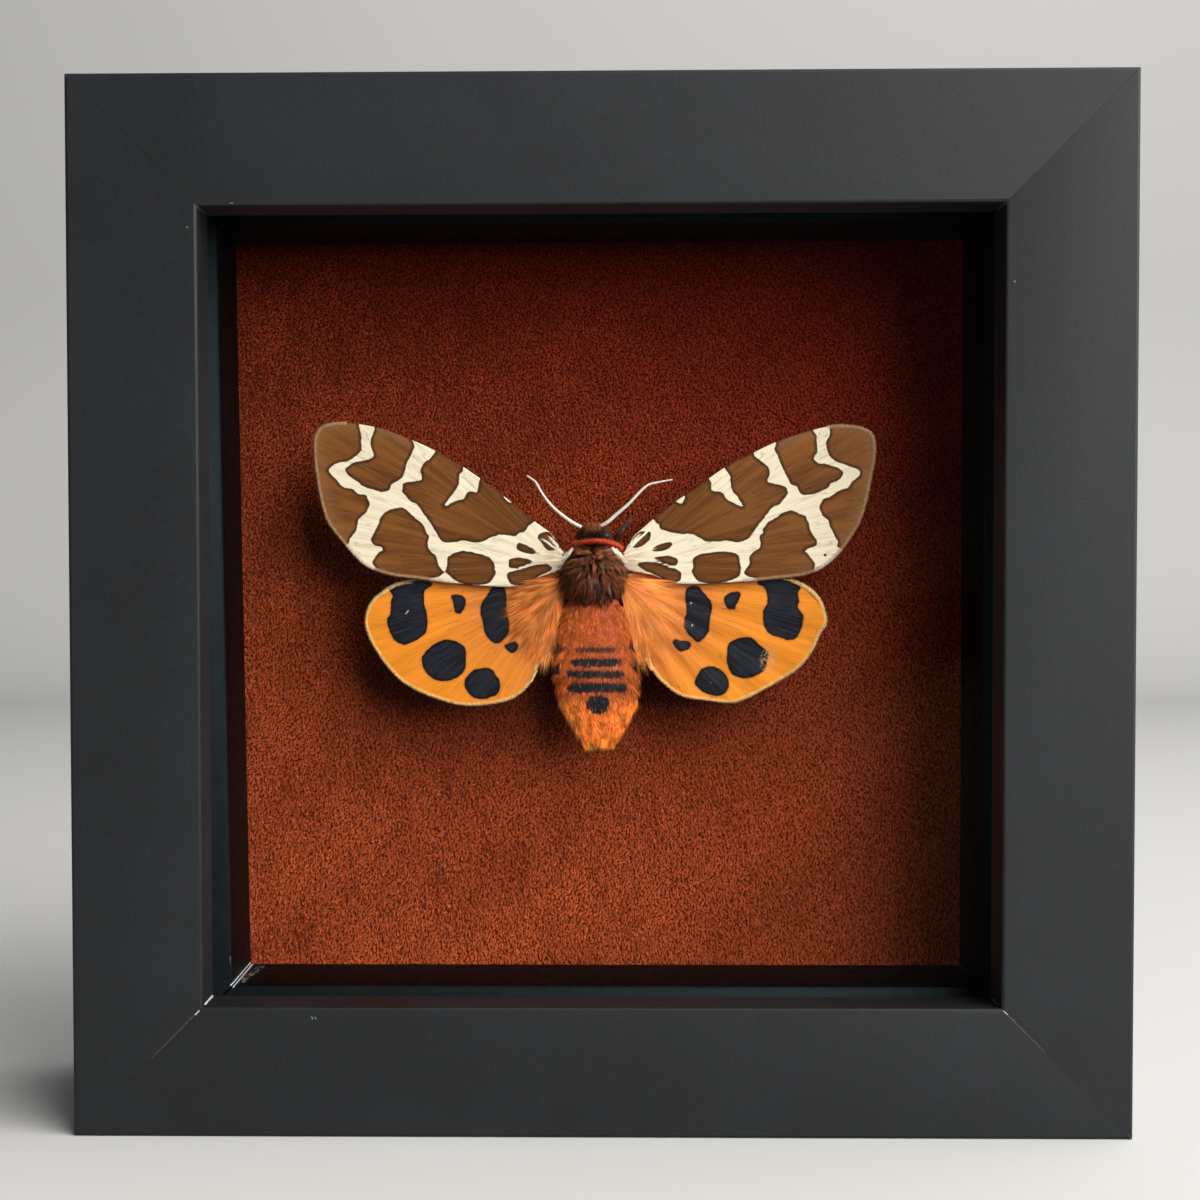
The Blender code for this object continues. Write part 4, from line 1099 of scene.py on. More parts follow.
def wing_mesh(name):
    """The sheet of one wing, with its markings stored on it."""
    kind = name.split("_")[0]
    outline = smooth_loop(OUTLINES[name], 5)
    bm = bmesh.new()
    bm.faces.new([bm.verts.new((x, 0.0, z)) for x, z in outline])
    for axis in (Vector((1, 0, 0)), Vector((0, 0, 1))):
        heights = [vert.co.dot(axis) for vert in bm.verts]
        for height in np.arange(min(heights) + WING_CELL, max(heights), WING_CELL):
            everything = bm.verts[:] + bm.edges[:] + bm.faces[:]
            bmesh.ops.bisect_plane(
                bm, geom=everything, dist=0.004, plane_co=axis * height, plane_no=axis
            )
    if sum(face.normal.y for face in bm.faces) > 0:
        bmesh.ops.reverse_faces(bm, faces=bm.faces)
    bmesh.ops.solidify(bm, geom=bm.faces[:], thickness=WING_FILM)
    for vert in bm.verts:
        x, z = vert.co.x, vert.co.z
        vert.co.y += WING_PLANES[kind] + wing_bend(x, z) + pleats(kind, x, z)
    mesh = mesh_from(bm, name + "_film")
    flat = places_of(mesh)[:, [0, 2]]
    patch = np.min([outside_by(flat, smooth_loop(p, 3)) for p in PATCHES[name]], axis=0)
    for hole in HOLES.get(name, []):
        patch = np.maximum(patch, -outside_by(flat, smooth_loop(hole, 3)))
    keep_on(mesh, "patch", patch)
    keep_on(mesh, "margin", -outside_by(flat, outline))
    angle, reach = fan_of(kind, flat[:, 0], flat[:, 1])
    keep_on(mesh, "fan", np.stack([angle, reach, np.zeros(len(angle))], axis=1))
    return mesh


wing_meshes = {name: wing_mesh(name) for name in OUTLINES}
print({name: len(mesh.polygons) for name, mesh in wing_meshes.items()})

# %% [markdown]
# ## The wings: scales
#
# Scales lie along the wing like tiles, so every colour on it has fine streaks that fan out from
# the root. The streaks are noise on the stored fan: quick across it and slow along it. On the
# forewing the brown has a darker rim along the cream, and turns tan towards the outer margin. On
# the hindwing the orange is pinker at the root, the spots are blue-black with darker rims, and a
# few spots are worn or scratched.

# %% Forewing scales
def streaks_of(finish, across=1.0, along=0.25):
    """Fine and broad streaks along the fan of a wing, each from 0 to 1."""
    fan = finish.stored("fan", "Vector")
    fine = finish.noise(finish.stretch(fan, (2.2 * across, along, 1.0)), 1.0, 3.0, 0.62)
    broad = finish.noise(finish.stretch(fan, (0.42 * across, 0.10, 1.0)), 1.0, 2.0, 0.5)
    return fine, broad


forewing = Finish("forewing_scales", Roughness=0.6, Specular_IOR_Level=0.1)
place = forewing.place()
fine, broad = streaks_of(forewing)
ragged = (forewing.noise(place, 1.7, 2.0, 0.5) - 0.5) * 0.22 + (fine - 0.5) * 0.10
edge = forewing.stored("patch") + ragged
margin = forewing.stored("margin")
dark_brown, brown = (0.092, 0.031, 0.008), (0.200, 0.073, 0.015)
reach = forewing.sides(forewing.stored("fan", "Vector"))[1]
browns = forewing.blend(forewing.rise(fine * 0.4 + broad * 0.6, 0.30, 0.60), dark_brown, brown)
browns = forewing.tint(browns, forewing.rise(reach, 3.0, 30.0, 0.82, 1.18))
tan = forewing.rise(margin + (broad - 0.5) * 1.6, 0.0, 2.2, 0.38, 0.0) * forewing.rise(reach, 20.0, 27.0)
browns = forewing.blend(tan, browns, (0.36, 0.175, 0.068))
costa = forewing.rise(margin, 0.08, 0.30, 0.6, 0.0) * forewing.rise(reach, 22.0, 29.0, 1.0, 0.0)
browns = forewing.blend(costa, browns, (0.085, 0.024, 0.008))
rim = forewing.rise(abs(edge + 0.10), 0.06, 0.42, 0.80, 0.0)
browns = forewing.blend(rim, browns, (0.044, 0.016, 0.007))
creams = forewing.blend(forewing.rise(fine, 0.28, 0.55), (0.82, 0.70, 0.48), (0.94, 0.83, 0.60))
root_streaks = forewing.rise(fine, 0.44, 0.56) * forewing.rise(reach, 2.0, 6.0, 0.7, 0.0)
creams = forewing.blend(root_streaks, creams, (0.20, 0.09, 0.04))
shade = forewing.blend(forewing.rise(edge, -0.05, 0.05), browns, creams)
vein = forewing.rise(abs(broad - 0.5), 0.0, 0.018, 0.28, 0.0)
shade = forewing.tint(shade, 1.0 - vein)
black_dot = forewing.near_line(place, (28.04, -3.0, 6.37), (28.1, -2.6, 6.35), 0.24, 0.05)
shade = forewing.blend(black_dot, shade, (0.01, 0.01, 0.01))
forewing.set("Base Color", shade)
forewing.relief(fine, 0.00004, 0.7)
print("forewing finish made")

# %% Hindwing scales
hindwing = Finish("hindwing_scales", Roughness=0.6, Specular_IOR_Level=0.1)
place = hindwing.place()
fine, broad = streaks_of(hindwing, 0.9)
ragged = (hindwing.noise(place, 1.9, 3.0, 0.6) - 0.5) * 0.30 + (fine - 0.5) * 0.16
edge = hindwing.stored("patch") + ragged
margin = hindwing.stored("margin")
reach = hindwing.sides(hindwing.stored("fan", "Vector"))[1]
orange = hindwing.blend(
    hindwing.rise(reach, 5.0, 20.0), (0.68, 0.205, 0.048), (0.90, 0.290, 0.024)
)
orange = hindwing.tint(orange, hindwing.rise(fine * 0.5 + broad * 0.5, 0.3, 0.6, 0.82, 1.06))
fold = hindwing.rise(abs(broad - 0.47), 0.0, 0.012, 0.42, 0.0) * hindwing.rise(reach, 14.0, 24.0, 1.0, 0.2)
orange = hindwing.tint(orange, 1.0 - fold)
fringe_band = hindwing.rise(margin + (fine - 0.5) * 0.3, 0.05, 0.40, 0.9, 0.0)
orange = hindwing.blend(fringe_band, orange, (0.98, 0.60, 0.20))
spot_inside = hindwing.blend(hindwing.rise(fine, 0.35, 0.68), (0.006, 0.006, 0.008), (0.024, 0.028, 0.038))
spot_rim = hindwing.rise(edge, -0.45, -0.12)
spots = hindwing.blend(spot_rim, spot_inside, (0.006, 0.005, 0.006))
shade = hindwing.blend(hindwing.rise(edge, -0.06, 0.05), spots, orange)
halo = hindwing.rise(edge, 0.02, 0.30, 0.35, 0.0) * hindwing.rise(edge, -0.02, 0.02)
shade = hindwing.blend(halo, shade, (0.38, 0.10, 0.02))
scratches = [
    ((12.3, -2.4, -0.7), (16.5, -2.2, -1.5), 0.10),
    ((13.9, -2.4, -9.5), (14.8, -2.2, -10.4), 0.09),
    ((11.4, -2.5, 0.4), (11.5, -2.5, 0.4), 0.14),
    ((11.6, -2.5, -2.3), (11.6, -2.5, -2.4), 0.15),
    ((-22.9, -2.4, -2.1), (-22.5, -2.4, -2.1), 0.10),
    ((-24.2, -2.3, -0.9), (-23.9, -2.3, -0.5), 0.10),
]
scratched = 0.0
for start, end, radius in scratches:
    near = hindwing.near_line(place, start, end, radius, 0.10)
    scratched = near if scratched == 0.0 else scratched.or_more(near)
shade = hindwing.blend(scratched * 0.75, shade, (0.72, 0.62, 0.50))
bald = hindwing.near_line(place, (21.3, -2.3, -6.0), (21.0, -2.3, -7.2), 1.25, 0.9)
bald = bald * hindwing.rise(hindwing.noise(place, 3.2, 3.0, 0.7), 0.46, 0.58)
shade = hindwing.blend(bald * 0.7, shade, (0.62, 0.36, 0.20))
hindwing.set("Base Color", shade)
hindwing.relief(fine, 0.00005, 0.8)

for name, mesh in wing_meshes.items():
    kind = name.split("_")[0]
    add_piece(mesh, forewing if kind == "forewing" else hindwing, [name])
print("wings in place:", ", ".join(wing_meshes))

# %% [markdown]
# ## The body: skins
#
# Under its fur a moth's body is a hard jointed skin. The thorax is one rounded box, the head a
# small wide one in front of it with a round compound eye at each side, and the abdomen is a row of
# rings that tapers to the tail. The skins are kept smaller than the rigid model, because the fur
# stands on them and its tips reach the model's surface.

# %% Skins of thorax, head and abdomen
THORAX_AT, THORAX_RADII = (-0.8, -2.8, 3.9), (3.6, 3.2, 3.6)
HEAD_AT, HEAD_RADII = (-0.7, -2.6, 8.75), (1.9, 1.5, 0.85)
EYE_RADIUS, EYE_SPREAD, EYE_DROP = 0.66, 1.5, 0.15
SKIN_SHARE = 0.80
ABDOMEN_Y, ABDOMEN_FLATNESS = -2.4, 0.64
ABDOMEN_STATIONS = np.array([
    (1.0, -0.80, 3.5), (-0.4, -0.78, 4.0), (-1.5, -0.75, 4.4), (-3.5, -0.70, 5.0), (-6.0, -0.55, 5.5),
    (-8.5, -0.40, 5.8), (-10.5, -0.2, 5.6), (-12.5, -0.1, 5.0), (-14.5, 0.05, 3.8),
    (-16.2, 0.0, 2.5), (-17.3, -0.1, 1.6),
])
RING_STEP = 1.72


def ball_at(bm, at, radii, share=1.0, segments=40, rings=24):
    """A ball that is stretched and put in its place."""
    size = Matrix.Diagonal((*(radius * share for radius in radii), 1.0))
    bmesh.ops.create_uvsphere(
        bm, u_segments=segments, v_segments=rings, radius=1.0,
        matrix=Matrix.Translation(Vector(at)) @ size,
    )


def abdomen_section(z):
    """Middle x and half width of the abdomen's skin at heights z; it swells within each ring."""
    heights, middles, halves = ABDOMEN_STATIONS[::-1].T
    swell = 0.98 + 0.015 * np.sin(2 * math.pi * z / RING_STEP)
    return np.interp(z, heights, middles), np.interp(z, heights, halves) * 0.88 * swell


DARK_BARS = [
    (-0.5, -5.4, 2.5, 0.34, 0.85), (-0.4, -6.95, 3.2, 0.50, 1.0), (-0.5, -8.4, 3.6, 0.52, 1.0),
    (-0.35, -10.05, 3.6, 0.62, 1.0), (-0.25, -12.1, 1.45, 1.2, 1.0), (-5.3, -5.2, 0.9, 0.5, 0.9),
    (-5.6, -7.9, 0.9, 0.65, 1.0), (4.2, -4.9, 0.8, 0.6, 1.0), (4.8, -7.6, 0.8, 0.55, 1.0),
    (5.1, -10.2, 0.7, 0.45, 0.8),
]


def darkness(flat):
    """How dark the abdomen is at places x, z: bars across its back and spots down its sides."""
    dark = np.zeros(len(flat))
    for x, z, wide, tall, strength in DARK_BARS:
        ragged = 0.20 * waves(flat, (0.9, 0.5), int(abs(z) * 10))
        across, up = (flat[:, 0] - x) / wide, (flat[:, 1] - z) / tall
        power = 2 if tall > 0.9 else 6
        inside = np.abs(across) ** power + up**2 < 1 + ragged
        dark = np.maximum(dark, inside * strength)
    return dark


def tube(bm, path, radii, sides=8):
    """A closed tube through places: a circle at each, bridged to the next."""
    loops = []
    path = [Vector(place) for place in path]
    for index, place in enumerate(path):
        way = path[min(index + 1, len(path) - 1)] - path[max(index - 1, 0)]
        turn = way.to_track_quat("Z", "Y").to_matrix().to_4x4()
        made = bmesh.ops.create_circle(
            bm, cap_ends=index in (0, len(path) - 1), segments=sides, radius=radii[index],
            matrix=Matrix.Translation(place) @ turn,
        )
        ring = set(made["verts"])
        loops.append([edge for edge in bm.edges if edge.verts[0] in ring])
    for first, second in zip(loops, loops[1:]):
        bmesh.ops.bridge_loops(bm, edges=first + second)
    bmesh.ops.recalc_face_normals(bm, faces=bm.faces[:])


skin = Finish("bare_skin", Base_Color=(0.030, 0.013, 0.008), Roughness=0.6)
abdomen_skin = Finish("abdomen_skin", Roughness=0.6)
bare = abdomen_skin.stored("mark")
abdomen_skin.set("Base Color", abdomen_skin.blend(bare, (0.42, 0.060, 0.014), (0.008, 0.007, 0.009)))

bm = bmesh.new()
ball_at(bm, THORAX_AT, THORAX_RADII, SKIN_SHARE)
add_piece(mesh_from(bm, "thorax_skin"), skin, ["thorax"])

bm = bmesh.new()
heights = np.linspace(0.9, -17.0, 96)
middles, halves = abdomen_section(heights)
tube(bm, [(x, ABDOMEN_Y, z) for x, z in zip(middles, heights)], halves, 32)
bmesh.ops.scale(
    bm, vec=(1.0, ABDOMEN_FLATNESS, 1.0), verts=bm.verts,
    space=Matrix.Translation((0.0, -ABDOMEN_Y, 0.0)),
)
mesh = mesh_from(bm, "abdomen_skin")
keep_on(mesh, "mark", darkness(places_of(mesh)[:, [0, 2]]))
add_piece(mesh, abdomen_skin, ["abdomen"])

bm = bmesh.new()
ball_at(bm, HEAD_AT, HEAD_RADII, SKIN_SHARE)
for side in (-1, 1):
    palp_top = Vector((HEAD_AT[0] + side * 0.3, HEAD_AT[1] - 0.75, HEAD_AT[2] + 0.35))
    tube(bm, [palp_top, palp_top + Vector((0, -0.45, 0.4))], [0.24, 0.12], 10)
add_piece(mesh_from(bm, "head_skin"), skin, ["head"])

eye = Finish("compound_eye", Base_Color=(0.012, 0.010, 0.009), Roughness=0.28)
bm = bmesh.new()
for side in (-1, 1):
    at = (HEAD_AT[0] + side * EYE_SPREAD, HEAD_AT[1] - EYE_DROP, HEAD_AT[2])
    ball_at(bm, at, (EYE_RADIUS, EYE_RADIUS, EYE_RADIUS), 1.0, 24, 16)
add_piece(mesh_from(bm, "compound_eyes"), eye)
print("body skins in place")

# %% [markdown]
# ## The fur: hairs
#
# The fur is thousands of fine stiff hairs, each thick at the root and drawn to a point, that leave
# the skin at an angle and then follow the way in which they are combed. One helper makes a mesh of
# many such hairs at once from arrays: three corners at the root, three at the middle, and the
# tip. Every hair stores its own tone and a mark that tells which of two colours it is.

# %% Many hairs as one mesh
def unit(ways):
    return ways / np.maximum(np.linalg.norm(ways, axis=-1, keepdims=True), 1e-9)


def hair_mesh(name, roots, rise_ways, comb_ways, lengths, width, tone, mark):
    """Hairs from roots: each leaves along its rise way and ends along its comb way."""
    count = len(roots)
    rise_ways, comb_ways = unit(rise_ways), unit(comb_ways)
    lengths = np.broadcast_to(lengths, count)[:, None]
    middle = roots + unit(0.6 * rise_ways + 0.4 * comb_ways) * lengths * 0.5
    tip = middle + unit(0.15 * rise_ways + 0.85 * comb_ways) * lengths * 0.5
    side = unit(np.cross(rise_ways, chance.normal(size=(count, 3))))
    other = np.cross(rise_ways, side)
    places = []
    for centre, radius in ((roots, width / 2), (middle, width * 0.36)):
        for corner in range(3):
            angle = corner * 2 * math.pi / 3
            out = side * math.cos(angle) + other * math.sin(angle)
            places.append(centre + out * radius)
    places = np.stack([*places, tip], axis=1)
    faces = []
    for corner in range(3):
        after = (corner + 1) % 3
        faces += [(corner, after, 3 + after), (corner, 3 + after, 3 + corner)]
        faces.append((3 + corner, 3 + after, 6))
    faces = 7 * np.arange(count)[:, None, None] + np.array(faces)[None]
    mesh = mesh_from_arrays(name, places, faces, 3)
    keep_on(mesh, "along", np.tile([0.0, 0.0, 0.0, 0.5, 0.5, 0.5, 1.0], count))
    keep_on(mesh, "tone", np.repeat(np.broadcast_to(tone, count), 7))
    keep_on(mesh, "mark", np.repeat(np.broadcast_to(mark, count), 7))
    return mesh


def fur_finish(name, root, tip, marked_root, marked_tip):
    """Hair colour from root to tip, and that of the marked hairs."""
    fur = Finish(name, Roughness=0.55, Specular_IOR_Level=0.2)
    along = fur.stored("along")
    plain = fur.blend(along, root, tip)
    marked = fur.blend(along, marked_root, marked_tip)
    fur.set("Base Color", fur.tint(fur.blend(fur.stored("mark"), plain, marked), fur.stored("tone")))
    return fur


def tones(count, spread=0.25):
    return np.clip(chance.normal(1.0, spread, count), 0.45, 1.8)


def ball_roots(count, at, radii, share, keep):
    """Random places on a stretched ball and the ways out of it, where keep(out) is true."""
    out = unit(chance.normal(size=(count * 3, 3)))
    out = out[keep(out)][:count]
    radii = np.array(radii)
    return np.array(at) + out * radii * share, unit(out / radii)


def in_locks(roots, ways, lock_count, spread, draw):
    """Comb hairs into locks: each follows its nearest lock, towards the middle of it."""
    heads = chance.choice(len(roots), lock_count, replace=False)
    gaps = np.linalg.norm(roots[:, None, :] - roots[heads][None, :, :], axis=2)
    lock = np.argmin(gaps, axis=1)
    lock_ways = unit(ways[heads] + chance.normal(0, spread, (lock_count, 3)))
    return lock, unit(ways) * 0.4 + lock_ways[lock] + draw * (roots[heads][lock] - roots)


print("hair helpers ready")

# %% [markdown]
# ## The thorax and head
#
# The thorax carries the longest and darkest fur, chocolate brown, parted along the middle and
# combed back towards the abdomen. Red hairs make a narrow collar behind the head, and a small
# tuft between the antennae is orange-brown. White hairs stand along the roots of the forewings.

# %% Dark fur of the thorax
THORAX_HAIRS = 17000
THORAX_LOCKS = 520

roots, out = ball_roots(
    THORAX_HAIRS, THORAX_AT, THORAX_RADII, SKIN_SHARE - 0.02, lambda way: way[:, 1] < 0.25
)
count = len(roots)
aside = (roots[:, 0] - THORAX_AT[0]) / THORAX_RADII[0]
upper = np.clip((roots[:, 2] - 5.6) / 1.6, 0.0, 1.0)
comb = np.stack([0.55 * aside, np.full(count, 0.05), 0.9 * upper - 1.0], axis=1)
comb -= out * np.sum(comb * out, axis=1, keepdims=True)
lock, comb = in_locks(roots, unit(comb), THORAX_LOCKS, 0.42, 0.5)
lock_tone = np.clip(chance.normal(1.0, 0.38, THORAX_LOCKS), 0.3, 2.0)
lock_pale = chance.uniform(0, 1, THORAX_LOCKS) < 0.07
near_tuft = np.hypot(roots[:, 0] - 0.3, roots[:, 2] - 2.9) < 0.8
pale = lock_pale[lock] | (near_tuft & (chance.uniform(0, 1, count) < 0.3))
lengths = chance.uniform(1.5, 2.7, count) * (1.0 - 0.4 * upper)
lengths *= np.interp(roots[:, 2], (1.0, 2.6), (1.3, 1.0))
thorax_fur = fur_finish(
    "thorax_fur", (0.065, 0.021, 0.010), (0.400, 0.132, 0.052),
    (0.120, 0.060, 0.036), (0.50, 0.32, 0.22),
)
mesh = hair_mesh(
    "thorax_fur", roots, out + 0.35 * comb, unit(comb) + 0.22 * out, lengths, 0.07,
    tones(count, 0.25) * lock_tone[lock], pale.astype(float),
)
add_piece(mesh, thorax_fur)
print("thorax hairs:", count)

# %% Head, collar and white tufts
def strand_roots(points, count, spread):
    """Random places near a line through points, with the way of the line at each."""
    line = np.array(points, float)
    share = chance.uniform(0, len(line) - 1, count)
    whole = np.minimum(share.astype(int), len(line) - 2)
    part = (share - whole)[:, None]
    places = line[whole] * (1 - part) + line[whole + 1] * part
    return places + chance.normal(0, spread, (count, 3)), unit(line[whole + 1] - line[whole])


HEAD_HAIRS = 4200

roots, out = ball_roots(
    HEAD_HAIRS, HEAD_AT, (2.0, 1.6, 0.9), SKIN_SHARE, lambda way: way[:, 1] < 0.35
)
count = len(roots)
forward = np.stack([0.5 * out[:, 0], np.full(count, -0.15), np.full(count, 0.75)], axis=1)
forward[roots[:, 2] < 8.5, 2] = -0.5
frons = (np.abs(roots[:, 0] + 0.8) < 0.75) & (roots[:, 2] > 8.95)
lock, forward = in_locks(roots, out + forward, 150, 0.3, 0.5)
head_fur = fur_finish(
    "head_fur", (0.015, 0.006, 0.004), (0.080, 0.030, 0.014),
    (0.11, 0.025, 0.007), (0.36, 0.115, 0.030),
)
mesh = hair_mesh(
    "head_fur", roots, out, forward, chance.uniform(0.5, 0.95, count) + 0.30 * frons, 0.055,
    tones(count, 0.35), frons * chance.uniform(0.5, 1.0, count),
)
add_piece(mesh, head_fur)

COLLAR_HAIRS = 2600
angle = chance.uniform(math.pi * 1.02, math.pi * 1.98, COLLAR_HAIRS)
front = -np.sin(angle)
roots = np.stack([
    -0.55 + 3.0 * np.cos(angle), -2.7 - 1.75 * front,
    6.85 + 1.0 * front + chance.uniform(-0.11, 0.11, COLLAR_HAIRS),
], axis=1)
comb = np.stack([0.7 * np.cos(angle), -0.35 * front, np.full(COLLAR_HAIRS, 0.55)], axis=1)
comb += chance.normal(0, 0.25, comb.shape)
collar_fur = fur_finish(
    "collar_fur", (0.34, 0.024, 0.008), (0.88, 0.110, 0.030),
    (0.022, 0.008, 0.005), (0.10, 0.04, 0.02),
)
mesh = hair_mesh(
    "collar_fur", roots, comb + np.array([0.0, -0.5, 0.0]), comb,
    chance.uniform(0.45, 0.85, COLLAR_HAIRS), 0.055, tones(COLLAR_HAIRS),
    (chance.uniform(0, 1, COLLAR_HAIRS) < 0.2).astype(float),
)
add_piece(mesh, collar_fur)

TUFTS = [
    ([(-3.3, -4.6, 7.2), (-4.0, -4.5, 6.5), (-4.5, -4.2, 5.7)], (-0.5, 0.1, -0.8), 120, 1.3, 0.09),
    ([(1.6, -4.8, 7.3), (2.3, -4.7, 6.9), (3.0, -4.3, 5.8)], (0.45, 0.1, -0.8), 150, 1.3, 0.09),
    ([(-4.3, -3.75, 6.5), (-6.4, -3.6, 7.9)], (-0.82, 0.0, 0.57), 60, 1.5, 0.07),
    ([(-4.4, -3.75, 6.2), (-7.2, -3.6, 6.6)], (-1.0, 0.0, 0.12), 60, 1.5, 0.07),
    ([(-4.5, -3.75, 5.9), (-7.6, -3.6, 5.5)], (-1.0, 0.0, -0.10), 60, 1.5, 0.07),
    ([(3.0, -3.75, 6.6), (5.6, -3.6, 8.9)], (0.70, 0.0, 0.70), 60, 1.5, 0.07),
    ([(3.0, -3.75, 6.3), (6.0, -3.6, 7.1)], (1.0, 0.0, 0.24), 60, 1.5, 0.07),
    ([(3.1, -3.75, 6.0), (6.4, -3.6, 5.7)], (1.0, 0.0, -0.12), 60, 1.5, 0.07),
    ([(-5.0, -3.6, 7.3), (-5.9, -3.6, 8.4)], (-0.6, -0.1, 0.45), 60, 0.8, 0.1),
    ([(3.5, -3.6, 7.4), (4.6, -3.6, 8.6)], (0.6, -0.1, 0.45), 60, 0.8, 0.1),
]
roots, ways, lengths = [], [], []
for line, way, count, length, spread in TUFTS:
    places, _ = strand_roots(line, count, spread)
    roots.append(places)
    ways.append(np.array(way) + chance.normal(0, spread, places.shape) * np.array([1.0, 0.3, 1.0]))
    lengths.append(length * chance.uniform(0.55, 1.1, count))
roots, ways, lengths = map(np.concatenate, (roots, ways, lengths))
white_fur = fur_finish(
    "white_tufts", (0.85, 0.76, 0.58), (0.97, 0.93, 0.80), (0.2, 0.08, 0.04), (0.5, 0.3, 0.2)
)
mesh = hair_mesh(
    "white_tufts", roots, ways + np.array([0.0, -0.12, 0.0]), ways, lengths, 0.065,
    tones(len(roots), 0.10), 0.0,
)
white_hairs = add_piece(mesh, white_fur)
white_hairs.visible_shadow = False
print("head, collar and tufts in place")

# %% [markdown]
# ## The abdomen
#
# The abdomen's fur is short, dense and red-orange. Black bars cross its back, one on each ring,
# and a row of small black spots runs down each side. The hairs at the tail are longer and make a
# blunt brush. Fine hair lets most of the light through, so the light hairs throw no shadow here;
# with one, the fur would turn dull and brown.

# %% Fur of the abdomen
ABDOMEN_HAIRS = 20000
ABDOMEN_LOCKS = 700

height = 0.3 - 17.6 * chance.uniform(0, 1, ABDOMEN_HAIRS * 2)
middle, half = abdomen_section(height)
kept = chance.uniform(0, 5.0, len(height)) < half
height, middle, half = height[kept], middle[kept], half[kept]
angle = chance.uniform(-math.pi, math.pi, len(height))
kept = (np.sin(angle) < 0.35) & (chance.uniform(0, 1, len(angle)) < 1.1)
height, middle, half, angle = (v[kept][:ABDOMEN_HAIRS] for v in (height, middle, half, angle))
count = len(height)
roots = np.stack(
    [middle + half * np.cos(angle), ABDOMEN_Y + half * ABDOMEN_FLATNESS * np.sin(angle), height],
    axis=1,
)
out = unit(np.stack([np.cos(angle) * ABDOMEN_FLATNESS, np.sin(angle), np.zeros(count)], axis=1))
tail = np.clip((-height - 14.5) / 2.5, 0.0, 1.0)
narrows = (abdomen_section(height - 0.8)[1] - abdomen_section(height + 0.8)[1]) / 1.6
comb = np.stack(
    [narrows * np.cos(angle), narrows * ABDOMEN_FLATNESS * np.sin(angle), -np.ones(count)], axis=1
)
comb[:, 0] += 0.2 * waves(roots[:, [0, 2]], (3.1, 1.7, 1.0), 31)
back = np.clip(1.6 * -np.sin(angle) - 0.5, 0.0, 1.0) * (1.0 - tail)
rings = np.sin(2 * math.pi * (height + 0.3) / RING_STEP)
lift = ((0.30 + 0.08 * rings) * (1.0 - 0.85 * tail) * (1.0 - 0.35 * back))[:, None]
lengths = chance.uniform(0.95, 1.5, count) * (1.0 - 0.5 * back) + 1.3 * tail
lengths = np.minimum(lengths, (18.1 + height) * 1.05 + 0.3)
lock, comb = in_locks(roots, unit(comb), ABDOMEN_LOCKS, 0.16, 0.45)
lock_tone = np.clip(chance.normal(1.0, 0.24, ABDOMEN_LOCKS), 0.65, 1.6)
middles_of_hairs = roots[:, [0, 2]] + unit(comb)[:, [0, 2]] * lengths[:, None] * 0.5
dark = darkness(middles_of_hairs) * (chance.uniform(0, 1, count) < 0.95)

abdomen_fur = Finish("abdomen_fur", Roughness=0.55, Specular_IOR_Level=0.2)
along = abdomen_fur.stored("along")
red = abdomen_fur.blend(along, (0.30, 0.042, 0.008), (0.76, 0.205, 0.036))
gold = abdomen_fur.blend(along, (0.90, 0.200, 0.026), (1.00, 0.420, 0.065))
low = abdomen_fur.rise(abdomen_fur.sides(abdomen_fur.place())[2], -13.5, -10.5, 1.0, 0.0)
black = abdomen_fur.blend(along, (0.006, 0.006, 0.008), (0.022, 0.022, 0.030))
shade = abdomen_fur.blend(abdomen_fur.stored("mark"), abdomen_fur.blend(low, red, gold), black)
abdomen_fur.set("Base Color", abdomen_fur.tint(shade, abdomen_fur.stored("tone")))
mesh = hair_mesh(
    "abdomen_fur", roots, out + 0.9 * comb, unit(comb) + lift * out, lengths, 0.075,
    tones(count, 0.2) * lock_tone[lock], dark,
)
abdomen_hairs = add_piece(mesh, abdomen_fur)
abdomen_hairs.visible_shadow = False
print("abdomen hairs:", count)

# %% [markdown]
# ## Long hairs at the wing bases, and fringes
#
# Long soft hairs fan out from the root of each hindwing, pinkish orange, over the inner part of
# the forewing and along the wing's inner margin. The margins themselves end in a fringe of short
# scales, paler than the wing.

# %% Wing-base hairs
BASE_HAIRS = 4600
BASE_LOCKS = 260


def base_hairs(side):
    """Hairs that fan from one hindwing's root; side is -1 for the left and 1 for the right."""
    sweep = chance.uniform(0.0, 1.0, BASE_HAIRS) ** 0.8
    angle = np.radians(-1 - 86 * sweep)
    start = chance.uniform(0.1, 1.0, BASE_HAIRS) ** 1.2 * np.interp(sweep, (0, 0.6, 1), (4.0, 7.0, 10.5))
    along_body = np.clip((sweep - 0.55) / 0.45, 0.0, 1.0)
    root_x = 3.3 + start * np.cos(angle) * 0.9 + along_body * chance.uniform(0, 2.2, BASE_HAIRS)
    root_x = BODY_X + side * root_x
    root_z = 3.5 + start * np.sin(angle)
    surface = WING_PLANES["hindwing"] + wing_bend(root_x, root_z) - 0.12
    surface -= 0.75 * np.clip((root_z - 2.9) / 0.5, 0.0, 1.0)
    roots = np.stack([root_x, surface, root_z], axis=1)
    way = np.stack([side * np.cos(angle), np.full(BASE_HAIRS, -0.03), np.sin(angle)], axis=1)
    lock, way = in_locks(roots, way, BASE_LOCKS, 0.10, 0.12)
    lock_tone = np.clip(chance.normal(1.0, 0.20, BASE_LOCKS), 0.6, 1.5)
    lengths = chance.uniform(2.2, 6.2, BASE_HAIRS) * np.interp(root_z, (-6.0, 0.0), (0.6, 1.0))
    lengths *= np.interp(sweep, (0.0, 0.35), (0.65, 1.0))
    return roots, way + np.array([0.0, -0.10, 0.0]), way, lengths, lock_tone[lock]


